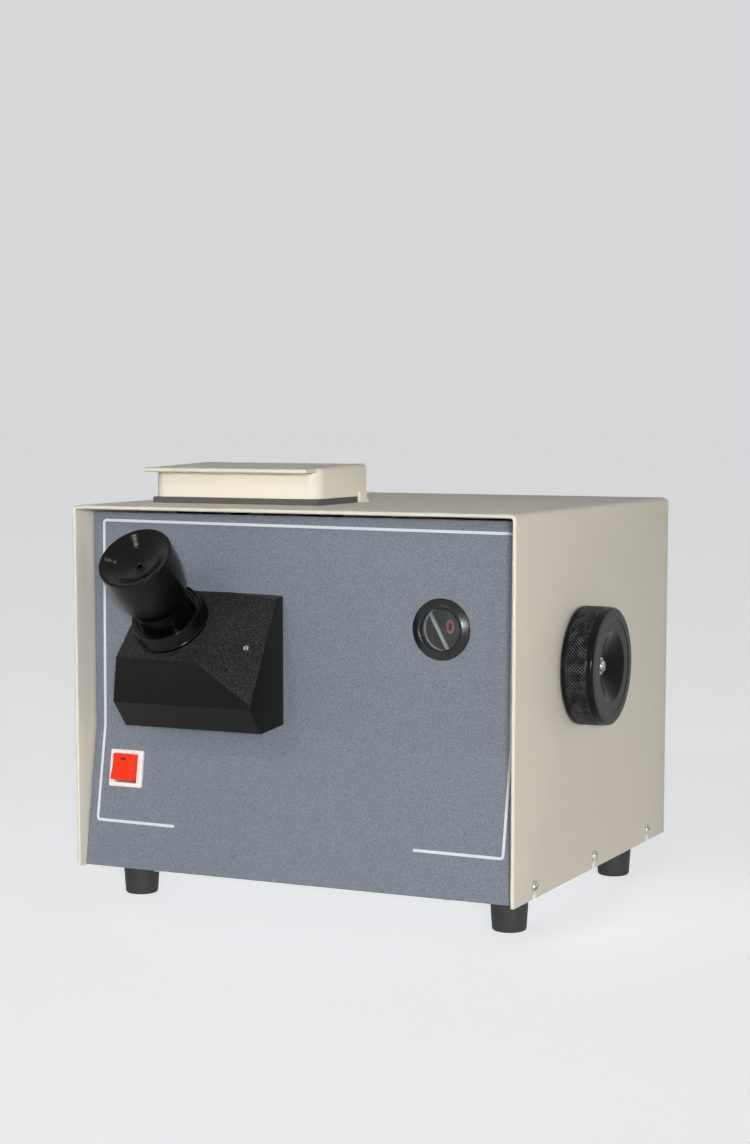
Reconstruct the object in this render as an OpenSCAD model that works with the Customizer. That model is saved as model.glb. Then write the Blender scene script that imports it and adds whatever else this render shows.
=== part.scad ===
// Benchtop colorimeter for oils: two sample jars stand under the lid, a lamp shines through them,
// and the eyepiece shows the sample beside a glass of the colour disc, which the handwheel turns.
//
// Places are worked out in the casing's own frame: X to the right from the casing's middle,
// Y back from its front edge, Z up from its lower edge. home() then moves every piece so that
// the origin lies on the bench, in the middle of the whole outline.

/* [Casing] */
// Width of the folded casing, outside
case_w = 360; // [350:1:400]
// Depth of the casing from its front edge to its back edge
case_d = 332; // [326:1:380]
// Height of the casing above its lower edge
case_h = 276; // [270:1:300]
// Thickness of the casing sheet
sheet_t = 2; // [1.5:0.1:2.5]
// Thickness of the casing's hemmed front and back edges
hem_t = 3; // [2.6:0.1:3.2]
// Depth of the hems
hem_depth = 12; // [8:1:16]
// Outer radius of the casing's two long bends
case_bend_r = 5; // [4:0.5:8]

/* [Feet and base] */
// Height of the casing's lower edge above the bench
foot_h = 28; // [22:1:36]
// Diameter of a foot at its top
foot_top_d = 29; // [22:0.5:32]
// Diameter of a foot at the bench
foot_end_d = 25; // [18:0.5:28]
// Distance of a foot's middle from the casing's side
foot_side_in = 25; // [20:1:40]
// Distance of a foot's middle from the casing's front or back edge
foot_end_in = 54; // [48:1:70]
// Height of the base plate's underside above the casing's lower edge
base_lift = 2.5; // [2.5:0.1:4]
// Thickness of the base plate and of the folded panels
plate_t = 2; // [1.5:0.1:2.5]
// Height of the base plate's side flanges
flange_h = 22; // [18:1:30]
// Distance of the first casing screws from the casing's front edge
case_screw_in = 39; // [36:1:60]
// Distance of the last casing screws from the casing's back edge
case_screw_back = 45; // [36:1:60]
// Height of the casing screws above the casing's lower edge
case_screw_z = 9.3; // [8:0.1:12]

/* [Front panel] */
// Recess of the panel behind the casing's front edge, above its bend
panel_recess = 25.5; // [22:0.5:30]
// Recess of the panel at the casing's lower edge
toe_recess = 7.9; // [6:0.1:12]
// Height of the panel's bend above the casing's lower edge
bend_z = 107; // [100:1:110]
// Front radius of the bend
bend_r = 12; // [4:1:20]
// Distance of the screws under the front and rear panels from the casing's sides
panel_screw_in = 60; // [50:1:80]
// Gap between the panel's top and the casing
panel_top_gap = 3; // [1:0.5:6]

/* [Number window] */
// Distance of the window's middle to the right of the colour disc's axle
window_reach = 83; // [82:0.5:88]
// Height of the window's middle
window_z = 191.8; // [185:0.1:200]
// Outer diameter of the window ring
ring_d = 44.6; // [42:0.2:50]
// Diameter of the ring's front lip
ring_lip_d = 34.8; // [33:0.2:38]
// Diameter of the opening in the ring
ring_bore_d = 30; // [26:0.5:31]
// How far the ring stands out of the panel
ring_proud = 3.8; // [2:0.1:6]
// Thickness of the window glass
window_glass_t = 2; // [1.5:0.1:3]

/* [Power switch] */
// Distance of the switch's middle from the casing's left side
switch_in = 33.6; // [30:0.2:40]
// Height of the switch's middle
switch_z = 75.1; // [60:0.1:82]
// Width and height of the bezel
bezel_w = 28.4; // [27:0.1:30]
// Thickness of the bezel
bezel_t = 2.4; // [1.5:0.1:3]
// Width of the rocker
rocker_w = 18.6; // [16:0.2:20]
// Height of the rocker up the panel
rocker_h = 20; // [18:0.2:21]
// How far the rocker stands out of the panel
rocker_proud = 8.2; // [6:0.2:10]
// Angle that the rocker swings through
rocker_swing = 14; // [8:1:16]
// Depth of the switch body behind the panel
switch_depth = 19; // [14:1:22]

/* [Eyepiece housing] */
// Distance of the housing's left face from the casing's left side
housing_in = 50.5; // [46:0.5:55]
// Width of the housing
housing_w = 115.5; // [110:0.5:120]
// Height of the housing's top edge
housing_top = 213; // [208:1:220]
// Height of the housing from its lowest edge to its top edge
housing_h = 100; // [95:1:104]
// Width of the 45 degree face that carries the eyepiece
face_w = 67.5; // [64:0.5:72]
// How far the 45 degree face runs forward, and as far down
face_run = 45.5; // [42:0.5:48]
// How far the front face leans forward from the ridge to the nose
nose_lean = 5; // [0:0.2:6]
// Height of the nose above the housing's lowest edge
nose_h = 20; // [14:0.5:24]
// How far the nose's chamfer runs back
nose_run = 17.3; // [10:0.1:20]
// Wall of the housing
housing_wall = 4; // [3:0.1:5]
// Distance of the slanting face's grub screw from the housing's right side
prism_screw_in = 14; // [10:0.5:30]

/* [Eyepiece] */
// How far up its face the eyepiece sits from the face's middle
eyepiece_up = 2; // [0:0.5:4]
// Diameter of the collar's foot
collar_d = 58.8; // [54:0.2:62]
// Diameter of the collar's top edge
collar_top_d = 53.4; // [50:0.2:58]
// Height of the collar on the face
collar_h = 12.5; // [10:0.5:15]
// Diameter of the eyecup's barrel
barrel_d = 40.6; // [38:0.2:43]
// Inner diameter of the eyecup's barrel
barrel_bore_d = 32; // [28:0.5:34]
// Largest diameter of the eyecup
eyecup_d = 56.4; // [52:0.2:60]
// Height of the eyecup's rim above the face
eyecup_h = 73; // [68:0.5:80]
// Depth of the dish in the eyecup
dish_depth = 10; // [7:0.5:13]
// Diameter of the peephole
peephole_d = 3.6; // [2.5:0.1:6]
// How far the focusing screw moves the eyecup in or out from its middle
focus_travel = 3; // [1:0.5:4]

/* [Optics and wells] */
// Height of the light beams
beam_z = 178; // [172:1:184]
// Distance between the two beams, and between the wells
beam_pitch = 60; // [54:1:60]
// How far the left beam lies to the left of the eyepiece's middle
field_offset = 7.5; // [5:0.5:9]
// Diameter of the beam holes
beam_d = 16; // [12:0.5:18]
// Bore of a well, for a jar of 36 mm outside
well_bore_d = 36.6; // [34:0.1:38]
// Wall of a well
well_wall = 2; // [1.5:0.1:2.5]
// Depth of a well, for a jar of 125 mm
well_depth = 126; // [116:1:130]
// Distance of the wells' middles behind the casing's front edge
well_y = 100; // [99:0.5:101]

/* [Lid] */
// Distance of the lid's left wall from the casing's left side
lid_in = 31.5; // [28:0.5:36]
// Width of the lid
lid_w = 142.5; // [140:0.5:150]
// Distance of the lid's front wall behind the casing's front edge
lid_y = 66; // [62:0.5:66]
// Depth of the lid from its front wall to its back wall
lid_d = 85.5; // [85:0.5:92]
// Height of the lid's top above the casing, at its front edge
lid_top = 27.5; // [24:0.5:34]
// How much the lid's top rises from its front edge to the bend at its back
lid_rise = 2; // [0:0.5:3]
// How far the finger lip stands forward of the front wall
lip_d = 17.5; // [12:0.5:20]
// Thickness of the lip's folded edge
lip_t = 3.3; // [3:0.1:4]
// Thickness of the lid sheet
lid_t = 2; // [1.5:0.1:2.4]
// Radius of the lid's front corners
lid_corner_r = 11; // [8:0.5:14]
// Outer radius of the bend at the back of the lid's top
lid_bend_r = 6; // [4:0.5:7]
// Height of the foam gasket
gasket_h = 4.6; // [4:0.1:5]
// Width of a gasket strip
gasket_w = 10; // [8:0.5:10]
// Height of the hinge ears above the casing
ear_h = 8; // [7:0.2:9]
// Length of a hinge ear
ear_len = 16; // [14:0.5:18]
// Diameter of the hinge pins
hinge_pin_d = 3; // [2.5:0.1:3]

/* [Handwheel] */
// Distance of the wheel's axis behind the casing's front edge
wheel_y = 122.6; // [118:0.1:130]
// Height of the wheel's axis and of the disc's axle
wheel_z = 160; // [156:1:166]
// Diameter of the handwheel
wheel_d = 88; // [78:1:94]
// Gap between the casing and the handwheel
wheel_gap = 4; // [2:0.5:6]
// Thickness of the handwheel
wheel_t = 23.5; // [19:0.5:26]
// Diameter of the dish in the wheel's face
wheel_dish_d = 50; // [44:1:60]
// Depth of the dish
wheel_dish_depth = 10; // [5:0.5:12]
// Radius of the wheel's front edge
wheel_edge_r = 4; // [2:0.5:5]
// Diameter of the wheel's shaft
shaft_d = 10; // [8:0.5:12]
// Distance of the inner shaft bracket from the disc's axle
bracket_reach = 50; // [44:1:56]
// Distance of the outer shaft bracket from the casing's right side
bracket_in = 30; // [24:1:40]
// Width of the shaft brackets
bracket_w = 32; // [28:1:40]
// Thickness of the shaft brackets
bracket_t = 4; // [3:0.5:5]
// Length of the brackets' feet
bracket_foot = 22; // [16:1:26]
// Width of the two collars on the shaft
shaft_collar_w = 8; // [6:0.5:10]

/* [Colour disc] */
// Distance of the disc's axle to the right of the right-hand light beam
disc_reach = 73.25; // [72:0.25:78]
// Distance of the disc's front face behind the casing's front edge
disc_y = 42; // [42:0.5:44]
// Thickness of the colour disc
disc_t = 5; // [4:0.5:6]
// Number of holes around the disc: one is left open, the others hold a glass each
disc_holes = 26; // [20:1:26]
// Diameter of a colour glass
glass_d = 14; // [12:0.5:14]
// Thickness of a colour glass
glass_t = 3; // [2:0.5:4]
// Rim of the disc outside the middle of the numbers
disc_rim = 9.6; // [7:0.1:12]
// Number of teeth on each bevel gear
gear_teeth = 24; // [20:4:28]
// Module of the bevel gears
gear_module = 1.25; // [1:0.05:1.4]
// Outer diameter of the disc's ball bearings
bearing_d = 26; // [24:0.5:30]
// Width of a ball bearing
bearing_w = 8; // [6:0.5:9]
// Distance from the outside of one bearing to the outside of the other
bearing_span = 30; // [26:1:31]

/* [Lamp] */
// Distance of the lamp's middle behind the casing's front edge
lamp_y = 245; // [235:1:255]
// Diameter of the lamp's bulb
bulb_d = 60; // [50:1:64]
// Width of the lamp house
lamp_house_w = 116; // [110:1:120]
// Depth of the lamp house
lamp_house_d = 100; // [90:1:105]
// Height of the lamp house's top above the casing's lower edge
lamp_house_top = 254; // [245:1:260]
// Thickness of the opal and daylight glasses
filter_t = 3; // [2:0.5:4]

/* [Rear panel] */
// Recess of the rear panel inside the casing's back edge
rear_recess = 15; // [14:0.5:20]
// Distance of the mains inlet's middle from the casing's right side
inlet_in = 80; // [70:1:100]
// Height of the mains inlet's middle
inlet_z = 46; // [40:1:60]
// Distance from the inlet's middle to the fuse holder's
fuse_pitch = 42; // [38:1:48]
// Diameter of the fuse cap
fuse_d = 15; // [13:0.5:17]

/* [Clearances] */
// Radial clearance of a running fit
run_gap = 0.04; // [0.02:0.01:0.08]
// Gap between sheets and pieces that lie beside each other
side_gap = 0.3; // [0.2:0.05:0.5]

/* [Hidden] */
$fn = 72;

// A cut runs this far past the face that it opens
over = 1;
// M4 hardware: thread, head, head height, slot width and nut
m4_d = 4;
m4_head_d = 8.6;
m4_head_h = 2.7;
m4_slot_w = 1.2;
m4_nut_d = 8.1;
m4_nut_h = 3.2;

// Casing
half_w = case_w / 2;
half_in = half_w - sheet_t;
panel_half = half_w - hem_t - side_gap;
base_top = base_lift + plate_t;
case_screw_ys = [case_screw_in, (case_screw_in + case_d - case_screw_back) / 2, case_d - case_screw_back];
case_slot_w = m4_d + 2;
foot_xs = [-(half_w - foot_side_in), half_w - foot_side_in];
foot_ys = [foot_end_in, case_d - foot_end_in];

// Front and rear panel
toe_angle = atan((panel_recess - toe_recess) / bend_z);
panel_foot_z = base_lift - plate_t;
panel_top_z = case_h - hem_t - panel_top_gap;
panel_back_y = panel_recess + plate_t;
return_len = 20;
rear_return_len = 16;
rear_y = case_d - rear_recess - plate_t;
panel_screw_x = half_w - panel_screw_in;
panel_screw_ys = [toe_recess + 12, rear_y - 8];

// Window
ring_thread_d = ring_lip_d + 2;
ring_lip_t = 2.2;
ring_seat = 1.5;
window_nut_t = 4;
index_t = 1.2;
index_w = 2.4;
index_out = 6.5;
index_tilt = -28;

// Switch
switch_x = -half_w + switch_in;
rocker_pivot_in = 2;
rocker_body_r = rocker_h / 2 + 0.2;
switch_body_w = bezel_w - 4;

// Housing and eyepiece
housing_x0 = -half_w + housing_in;
housing_x1 = housing_x0 + housing_w;
face_x1 = housing_x0 + face_w;
housing_foot_z = housing_top - housing_h;
top_land = 1.5;
eyepiece_x = housing_x0 + face_w / 2;
eyepiece_y = panel_recess - top_land - face_run / 2 + eyepiece_up * sin(45);
eyepiece_z = housing_top - top_land - face_run / 2 + eyepiece_up * sin(45);
collar_sleeve = 14;
sleeve_wall = 3;
barrel_in = 4;
cell_d = barrel_bore_d - 2 * run_gap;
cell_in = 13;
cell_top = eyecup_h - dish_depth - 14;
lens_d = cell_d - 4;
cell_ledge = 1.5;
housing_screw_out = 1.5;

// Beams and wells
beam_left_x = eyepiece_x - field_offset;
beam_right_x = beam_left_x + beam_pitch;
beam_xs = [beam_left_x, beam_right_x];
disc_x = beam_right_x + disc_reach;
window_x = disc_x + window_reach;
well_d = well_bore_d + 2 * well_wall;
well_flange_d = well_d + 5;
well_flange_t = 1.6;
stand_t = 3;
well_top_z = case_h - sheet_t - side_gap;
well_floor_z = well_top_z - well_depth;
mouth_d = well_flange_d + 1.4;
mouth_x0 = beam_left_x - mouth_d / 2 - 3;
mouth_x1 = beam_right_x + mouth_d / 2 + 3;

// Lid
lid_x0 = -half_w + lid_in;
lid_x1 = lid_x0 + lid_w;
lid_mid_x = (lid_x0 + lid_x1) / 2;
lid_foot_z = case_h + gasket_h + 0.1;
lid_z1 = case_h + lid_top;
lid_y1 = lid_y + lid_d;
lid_slope = atan(lid_rise / (lid_d - lid_bend_r));
lid_bend_y = lid_y1 - lid_bend_r;
lid_bend_z = lid_z1 - lid_bend_r * cos(lid_slope)
    + (lid_bend_y - lid_bend_r * sin(lid_slope) - lid_y) * tan(lid_slope);
gasket_y1 = well_y + mouth_d / 2 + gasket_w;
ear_t = 2;
ear_gap = 0.4;
pin_head_t = 0.8;
ear_y1 = lid_y1 - 0.9;
hinge_y = lid_y1 - 4;
hinge_z = case_h + 4.4;
hinge_lug_r = 3.8;

// Handwheel and shaft
wheel_x0 = half_w + wheel_gap;
wheel_x1 = wheel_x0 + wheel_t;
wheel_floor_x = wheel_x1 - wheel_dish_depth;
shaft_r = shaft_d / 2;
shaft_run_d = shaft_d + 2 * run_gap;
bracket_x_inner = disc_x + bracket_reach;
bracket_x_outer = half_w - bracket_in;
bush_wall = 3;
bush_d = shaft_d + 2 * bush_wall;
bush_in = 3;
bush_flange_t = 2;
bush_flange_w = 2.5;
bracket_rise = 6;
collar_gap = 0.5;
shaft_collar_wall = 4;

// Colour disc
glass_ring_r = norm([disc_x - beam_right_x, beam_z - wheel_z]);
number_ring_r = norm([window_x - disc_x, window_z - wheel_z]);
disc_r = max(number_ring_r, glass_ring_r + glass_d / 2) + disc_rim;
glass_angle = atan2(beam_z - wheel_z, beam_right_x - disc_x);
hub_flange_t = 4;
hub_y1 = disc_y + disc_t + hub_flange_t + 6;
post_y0 = hub_y1 + 1.5;
post_y1 = post_y0 + bearing_span;
post_boss_d = bearing_d + 8;
post_w = 44;
post_foot_w = 68;
post_foot_reach = 10;
post_foot_t = 6;

// Bevel gears: both have the same teeth and share an apex where the two axes cross
cone_r = gear_teeth * gear_module / 2 / sin(45);
gear_face = cone_r / 3;
addendum_angle = atan(0.85 * gear_module / cone_r);
dedendum_angle = atan(1.15 * gear_module / cone_r);
gear_core_angle = 24;
backlash = 0.22;

// Lamp
lamp_x = (beam_left_x + beam_right_x) / 2;
lamp_z = beam_z + 6;
bulb_neck_d = 27;
holder_d = 38;
holder_h = 48;
holder_z = lamp_z - bulb_d / 2 - 26 - holder_h + 22;
lamp_sheet = 1.5;
lamp_house_y0 = lamp_y - lamp_house_d / 2;
window_plate_h = 40;

// Rear fittings
inlet_x = half_w - inlet_in;
inlet_body = [27.5, 20, 22];
inlet_flange = [32, 24.5, 2.5];
inlet_socket = [23, 15.5, 17];
inlet_pin_places = [[-7, -2], [0, 2], [7, -2]];
blade = [2, 21, 4];
blade_back = 10;
fuse_x = inlet_x + fuse_pitch;

// Middle of the whole outline: the wheel stands out at the right, the screws' heads at the left and
// the eyecup's rim at the front
rim_r = 1.4;
front_reach = (eyecup_h - rim_r) * sin(45) + (eyecup_d / 2 - rim_r) * sin(45) + rim_r;
mid_x = (wheel_x1 - half_w - m4_head_h) / 2;
mid_y = (case_d + eyepiece_y - front_reach) / 2;

// ---- Places -------------------------------------------------------------------------------

// From the casing's frame to the model's frame
module home() translate([-mid_x, -mid_y, foot_h]) children();

// Extrudes a (y, z) outline along X, centred
module extrude_x(width, x = 0) {
    translate([x - width / 2, 0, 0]) rotate([90, 0, 90]) linear_extrude(width) children();
}

// A round bar that starts at [x, y, z] and runs along +X, +Y or +Z
module bar_x(d, length) rotate([0, 90, 0]) cylinder(d = d, h = length);
module bar_y(d, length) rotate([-90, 0, 0]) cylinder(d = d, h = length);
module bar_z(d, length) cylinder(d = d, h = length);

// The sloping lower part of the front panel: local Y goes into the panel, local Z up its face
module on_toe(x, z) {
    translate([x, panel_y(z), z]) rotate([-toe_angle, 0, 0]) children();
}

// The window's axis: local Z leaves the panel
module on_window() translate([window_x, panel_recess, window_z]) rotate([90, 0, 0]) children();

// The eyepiece's axis: local Z leaves the 45 degree face
module on_eyepiece() translate([eyepiece_x, eyepiece_y, eyepiece_z]) rotate([45, 0, 0]) children();

// The disc's axle seen from behind, and the wheel's shaft, both from the point where they cross
module at_apex() translate([disc_x, wheel_y, wheel_z]) children();

// Recess of the panel's face at a height on its sloping part
function panel_y(z) = panel_recess - (bend_z - z) * tan(toe_angle);

// ---- Hardware -----------------------------------------------------------------------------

// A slotted pan-head screw: the head sits on the plane z = 0 and the thread goes down
module pan_screw(d, head_d, head_h, length, slot_w) {
    difference() {
        union() {
            cylinder(d = head_d, h = head_h * 0.6);
            translate([0, 0, head_h * 0.6]) cylinder(d1 = head_d, d2 = head_d * 0.7, h = head_h * 0.4);
            translate([0, 0, -length]) cylinder(d = d, h = length + over / 2);
        }
        translate([-head_d, -slot_w / 2, head_h * 0.45]) cube([2 * head_d, slot_w, head_h]);
    }
}

module hex_nut(d, bore, height) {
    difference() {
        cylinder(d = d, h = height, $fn = 6);
        translate([0, 0, -over]) cylinder(d = bore, h = height + 2 * over);
    }
}

// A washer or a plain ring
module ring(d, bore, height) {
    difference() {
        cylinder(d = d, h = height);
        translate([0, 0, -over]) cylinder(d = bore, h = height + 2 * over);
    }
}

// A plate in the XY plane with round corners, made of exact arcs
module round_plate(w, h, r) {
    square([w - 2 * r, h], center = true);
    square([w, h - 2 * r], center = true);
    for (sx = [-1, 1], sy = [-1, 1])
        translate([sx * (w / 2 - r), sy * (h / 2 - r)]) circle(r = r);
}

// ---- Casing -------------------------------------------------------------------------------

// Outline of the casing's outer or inner face, open at the bottom
module arch(w, h, r, foot = 0) {
    translate([-w / 2, -foot]) square([w, h - r + foot]);
    translate([-w / 2 + r, 0]) square([w - 2 * r, h]);
    for (s = [-1, 1]) translate([s * (w / 2 - r), h - r]) circle(r = r);
}

module folded_sheet(t, length) {
    rotate([90, 0, 0]) linear_extrude(length) difference() {
        arch(case_w, case_h, case_bend_r);
        arch(case_w - 2 * t, case_h - t, case_bend_r - t, over);
    }
}

module casing() {
    color([0.80, 0.78, 0.71]) home() difference() {
        union() {
            translate([0, case_d, 0]) folded_sheet(sheet_t, case_d);
            for (y = [hem_depth, case_d]) translate([0, y, 0]) folded_sheet(hem_t, hem_depth);
        }
        for (y = case_screw_ys, s = [-1, 1]) casing_slot(s, y);
        translate([half_w - hem_t - over, wheel_y, wheel_z]) bar_x(shaft_d + 6, hem_t + 2 * over);
        translate([mouth_x0, well_y - mouth_d / 2, case_h - sheet_t - over])
            cube([mouth_x1 - mouth_x0, mouth_d, sheet_t + 2 * over]);
        for (s = [-1, 1]) ear_place(s) translate([-0.1, -0.1, -sheet_t - over])
            cube([ear_t + 0.2, ear_len + 0.2, sheet_t + 2 * over]);
    }
}

// A slot for a casing screw, open at the casing's lower edge
module casing_slot(side, y) {
    x0 = side > 0 ? half_w - sheet_t - over : -half_w - over;
    translate([x0, y, case_screw_z]) bar_x(case_slot_w, sheet_t + 2 * over);
    translate([x0, y - case_slot_w / 2, -over]) cube([sheet_t + 2 * over, case_slot_w, case_screw_z + over]);
}

module casing_screws() {
    color([0.75, 0.75, 0.74]) home() for (y = case_screw_ys, s = [-1, 1])
        translate([s * half_w, y, case_screw_z]) rotate([0, s * 90, 0]) rotate([0, 0, 25 * s + y])
            pan_screw(m4_d, m4_head_d, m4_head_h, sheet_t + side_gap + plate_t + 3, m4_slot_w);
}

module base_plate() {
    flange_y0 = toe_recess + return_len + 4;
    flange_len = rear_y - side_gap - flange_y0;
    base_y0 = panel_y(base_top) + 3 * plate_t;
    base_len = rear_y - side_gap - base_y0;
    color([0.62, 0.63, 0.62]) home() difference() {
        union() {
            translate([-half_in + side_gap, base_y0, base_lift])
                cube([2 * (half_in - side_gap), base_len, plate_t]);
            for (s = [-1, 1])
                translate([s > 0 ? half_in - side_gap - plate_t : -half_in + side_gap, flange_y0, base_lift])
                    cube([plate_t, flange_len, flange_h]);
        }
        for (y = case_screw_ys, s = [-1, 1]) translate([s * half_w - 10, y, case_screw_z]) bar_x(m4_d, 20);
        for (x = foot_xs, y = foot_ys) translate([x, y, base_lift - over]) bar_z(m4_d, plate_t + 2 * over);
        for (x = [-1, 1], y = panel_screw_ys)
            translate([x * panel_screw_x, y, base_lift - over]) bar_z(m4_d, plate_t + 2 * over);
    }
}

// ---- Feet ---------------------------------------------------------------------------------

foot_total = foot_h + base_lift;
foot_cup_d = m4_head_d + 2.4;
foot_cup_h = foot_total - 9;
foot_end_r = 2.5;

module foot() {
    rotate_extrude() difference() {
        union() {
            polygon([[0, 0], [foot_end_d / 2 - foot_end_r, 0], [foot_end_d / 2, foot_end_r],
                     [foot_top_d / 2, foot_total], [0, foot_total]]);
            translate([foot_end_d / 2 - foot_end_r, foot_end_r]) circle(r = foot_end_r);
        }
        translate([-foot_cup_d, -over]) square([foot_cup_d * 1.5, foot_cup_h + over]);
        translate([-m4_d, 0]) square([m4_d * 1.5, foot_total + over]);
    }
}

module at_feet() {
    home() for (x = foot_xs, y = foot_ys) translate([x, y, -foot_h]) children();
}

module feet() color([0.07, 0.07, 0.08]) at_feet() foot();

module foot_screws() {
    color([0.7, 0.7, 0.7]) at_feet() translate([0, 0, foot_cup_h]) mirror([0, 0, 1])
        pan_screw(m4_d, m4_head_d, m4_head_h, foot_total - foot_cup_h + plate_t + m4_nut_h + 1.5, m4_slot_w);
}

module foot_nuts() {
    color([0.72, 0.72, 0.7]) at_feet() translate([0, 0, foot_total + plate_t])
        hex_nut(m4_nut_d, m4_d, m4_nut_h);
}

// ---- Panels -------------------------------------------------------------------------------

// Points of a bend's arc about [y, z], from straight up to the sloping part
function bend_arc(r, steps = 6) = [for (i = [0:steps])
    let (a = -toe_angle * i / steps)
    [panel_recess - bend_r + r * cos(a), bend_z + bend_r * tan(toe_angle / 2) + r * sin(a)]];

function reversed(list) = [for (i = [len(list) - 1:-1:0]) list[i]];

module panel_outline() {
    foot_y = panel_y(panel_foot_z);
    inner_y = panel_y(base_lift) + plate_t / cos(toe_angle);
    polygon(concat([[panel_recess, panel_top_z]], bend_arc(bend_r),
        [[foot_y, panel_foot_z], [foot_y + return_len, panel_foot_z],
         [foot_y + return_len, base_lift], [inner_y, base_lift]],
        reversed(bend_arc(bend_r + plate_t)), [[panel_back_y, panel_top_z]]));
}

module front_panel() {
    color([0.44, 0.47, 0.52]) home() difference() {
        extrude_x(2 * panel_half) panel_outline();
        translate([window_x, panel_recess - over, window_z])
            bar_y(ring_thread_d + 2 * run_gap, plate_t + 2 * over);
        translate([carrier_x0 - 2, panel_recess - over, carrier_top_z - 6])
            cube([carrier_x1 - carrier_x0 + 4, plate_t + 2 * over, 50]);
        on_toe(switch_x, switch_z) translate([-switch_body_w / 2 - 0.2, -over, -switch_body_w / 2 - 0.2])
            cube([switch_body_w + 0.4, plate_t + 2 * over, switch_body_w + 0.4]);
        housing_bolts() translate([0, -over, 0]) bar_y(m4_d, plate_t + 2 * over);
        for (s = [-1, 1]) translate([s * panel_screw_x, panel_screw_ys[0], panel_foot_z - over])
            bar_z(m4_d, plate_t + 2 * over);
    }
}

// Vent slots in the rear panel
module vents(columns, rows, pitch_x, pitch_z, length, width) {
    for (i = [0:columns - 1], j = [0:rows - 1])
        translate([(i - (columns - 1) / 2) * pitch_x, 0, (j - (rows - 1) / 2) * pitch_z])
            translate([-length / 2, -over, -width / 2]) cube([length, plate_t + 2 * over, width]);
}

module rear_panel() {
    color([0.74, 0.72, 0.66]) home() difference() {
        union() {
            translate([-panel_half, rear_y, panel_foot_z])
                cube([2 * panel_half, plate_t, panel_top_z - panel_foot_z]);
            translate([-panel_half, rear_y - rear_return_len, panel_foot_z])
                cube([2 * panel_half, rear_return_len + plate_t, plate_t]);
        }
        translate([lamp_x, rear_y, lamp_z + 12]) vents(3, 9, 34, 9, 28, 4);
        translate([lamp_x, rear_y, inlet_z]) vents(3, 3, 34, 9, 28, 4);
        translate([inlet_x - inlet_body[0] / 2 - 0.2, rear_y - over, inlet_z - inlet_body[1] / 2 - 0.2])
            cube([inlet_body[0] + 0.4, plate_t + 2 * over, inlet_body[1] + 0.4]);
        translate([fuse_x, rear_y - over, inlet_z]) bar_y(fuse_d - 2 + 0.2, plate_t + 2 * over);
        for (s = [-1, 1]) translate([s * panel_screw_x, panel_screw_ys[1], panel_foot_z - over])
            bar_z(m4_d, plate_t + 2 * over);
    }
}

module panel_screws() {
    color([0.7, 0.7, 0.7]) home() for (s = [-1, 1], y = panel_screw_ys)
        translate([s * panel_screw_x, y, panel_foot_z]) mirror([0, 0, 1])
            pan_screw(m4_d, m4_head_d, m4_head_h, plate_t * 2 + 3, m4_slot_w);
}

// ---- Number window ------------------------------------------------------------------------

module window_ring() {
    color([0.05, 0.05, 0.06]) home() on_window() difference() {
        union() {
            cylinder(d1 = ring_d, d2 = ring_lip_d, h = ring_proud);
            translate([0, 0, -plate_t - window_nut_t - 1])
                cylinder(d = ring_thread_d, h = plate_t + window_nut_t + 1 + over / 2);
        }
        translate([0, 0, -20]) cylinder(d = ring_bore_d, h = 40);
        translate([0, 0, ring_proud - 1]) cylinder(d1 = ring_bore_d, d2 = ring_bore_d + 2.4, h = 1.2);
        translate([0, 0, -20]) cylinder(d = ring_bore_d + 2 * ring_seat, h = 20 + ring_proud - ring_lip_t);
    }
}

module window_glass() {
    color([0.85, 0.9, 0.9, 0.4]) home() on_window() translate([0, 0, ring_proud - ring_lip_t - window_glass_t])
        cylinder(d = ring_bore_d + 2 * ring_seat - 0.2, h = window_glass_t);
}

module window_nut() {
    color([0.08, 0.08, 0.08]) home() translate([window_x, panel_back_y, window_z]) rotate([-90, 0, 0])
        ring(ring_thread_d + 7, ring_thread_d, window_nut_t);
}

// A bright strip behind the glass against which the number is read
module number_index() {
    y0 = panel_back_y + window_nut_t + 1;
    bore = ring_bore_d + 1;
    color([0.85, 0.85, 0.82]) home() translate([window_x, y0, window_z]) difference() {
        union() {
            rotate([-90, 0, 0]) ring(ring_thread_d, bore, index_t);
            rotate([0, index_tilt, 0]) translate([-index_out, 0, -bore / 2 - 0.5])
                cube([index_w, index_t, bore + 1]);
        }
        rotate([-90, 0, 0]) translate([0, 0, -over]) ring(ring_thread_d + 10, ring_thread_d, index_t + 2 * over);
    }
}

// ---- Power switch -------------------------------------------------------------------------

module switch_body() {
    opening = [rocker_w + 0.9, rocker_h + 1.8];
    color([0.93, 0.93, 0.91]) home() on_toe(switch_x, switch_z) difference() {
        union() {
            translate([-bezel_w / 2, -bezel_t, -bezel_w / 2]) cube([bezel_w, bezel_t, bezel_w]);
            translate([-switch_body_w / 2, -over / 2, -switch_body_w / 2])
                cube([switch_body_w, switch_depth + over / 2, switch_body_w]);
            for (x = [-7, 0, 7]) translate([x - 0.4, switch_depth - over, -3.15]) cube([0.8, 8 + over, 6.3]);
        }
        translate([-opening[0] / 2, -bezel_t - over, -opening[1] / 2])
            cube([opening[0], bezel_t + over + rocker_pivot_in, opening[1]]);
        translate([-opening[0] / 2, rocker_pivot_in, 0]) bar_x(opening[1], opening[0]);
    }
}

// Side view of the rocker about its pivot: a round back, and a face that is folded at its middle
module rocker_outline() {
    fold = rocker_swing / 2;
    tip = rocker_proud + rocker_pivot_in;
    difference() {
        union() {
            circle(r = rocker_body_r);
            translate([-tip, -rocker_h / 2]) square([tip, rocker_h]);
        }
        polygon([[-tip - over, -rocker_h], [-tip - over, rocker_h], [-tip, rocker_h / 2],
                 [-tip + rocker_h / 2 * tan(fold), 0], [-tip, -rocker_h / 2]]);
    }
}

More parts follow.
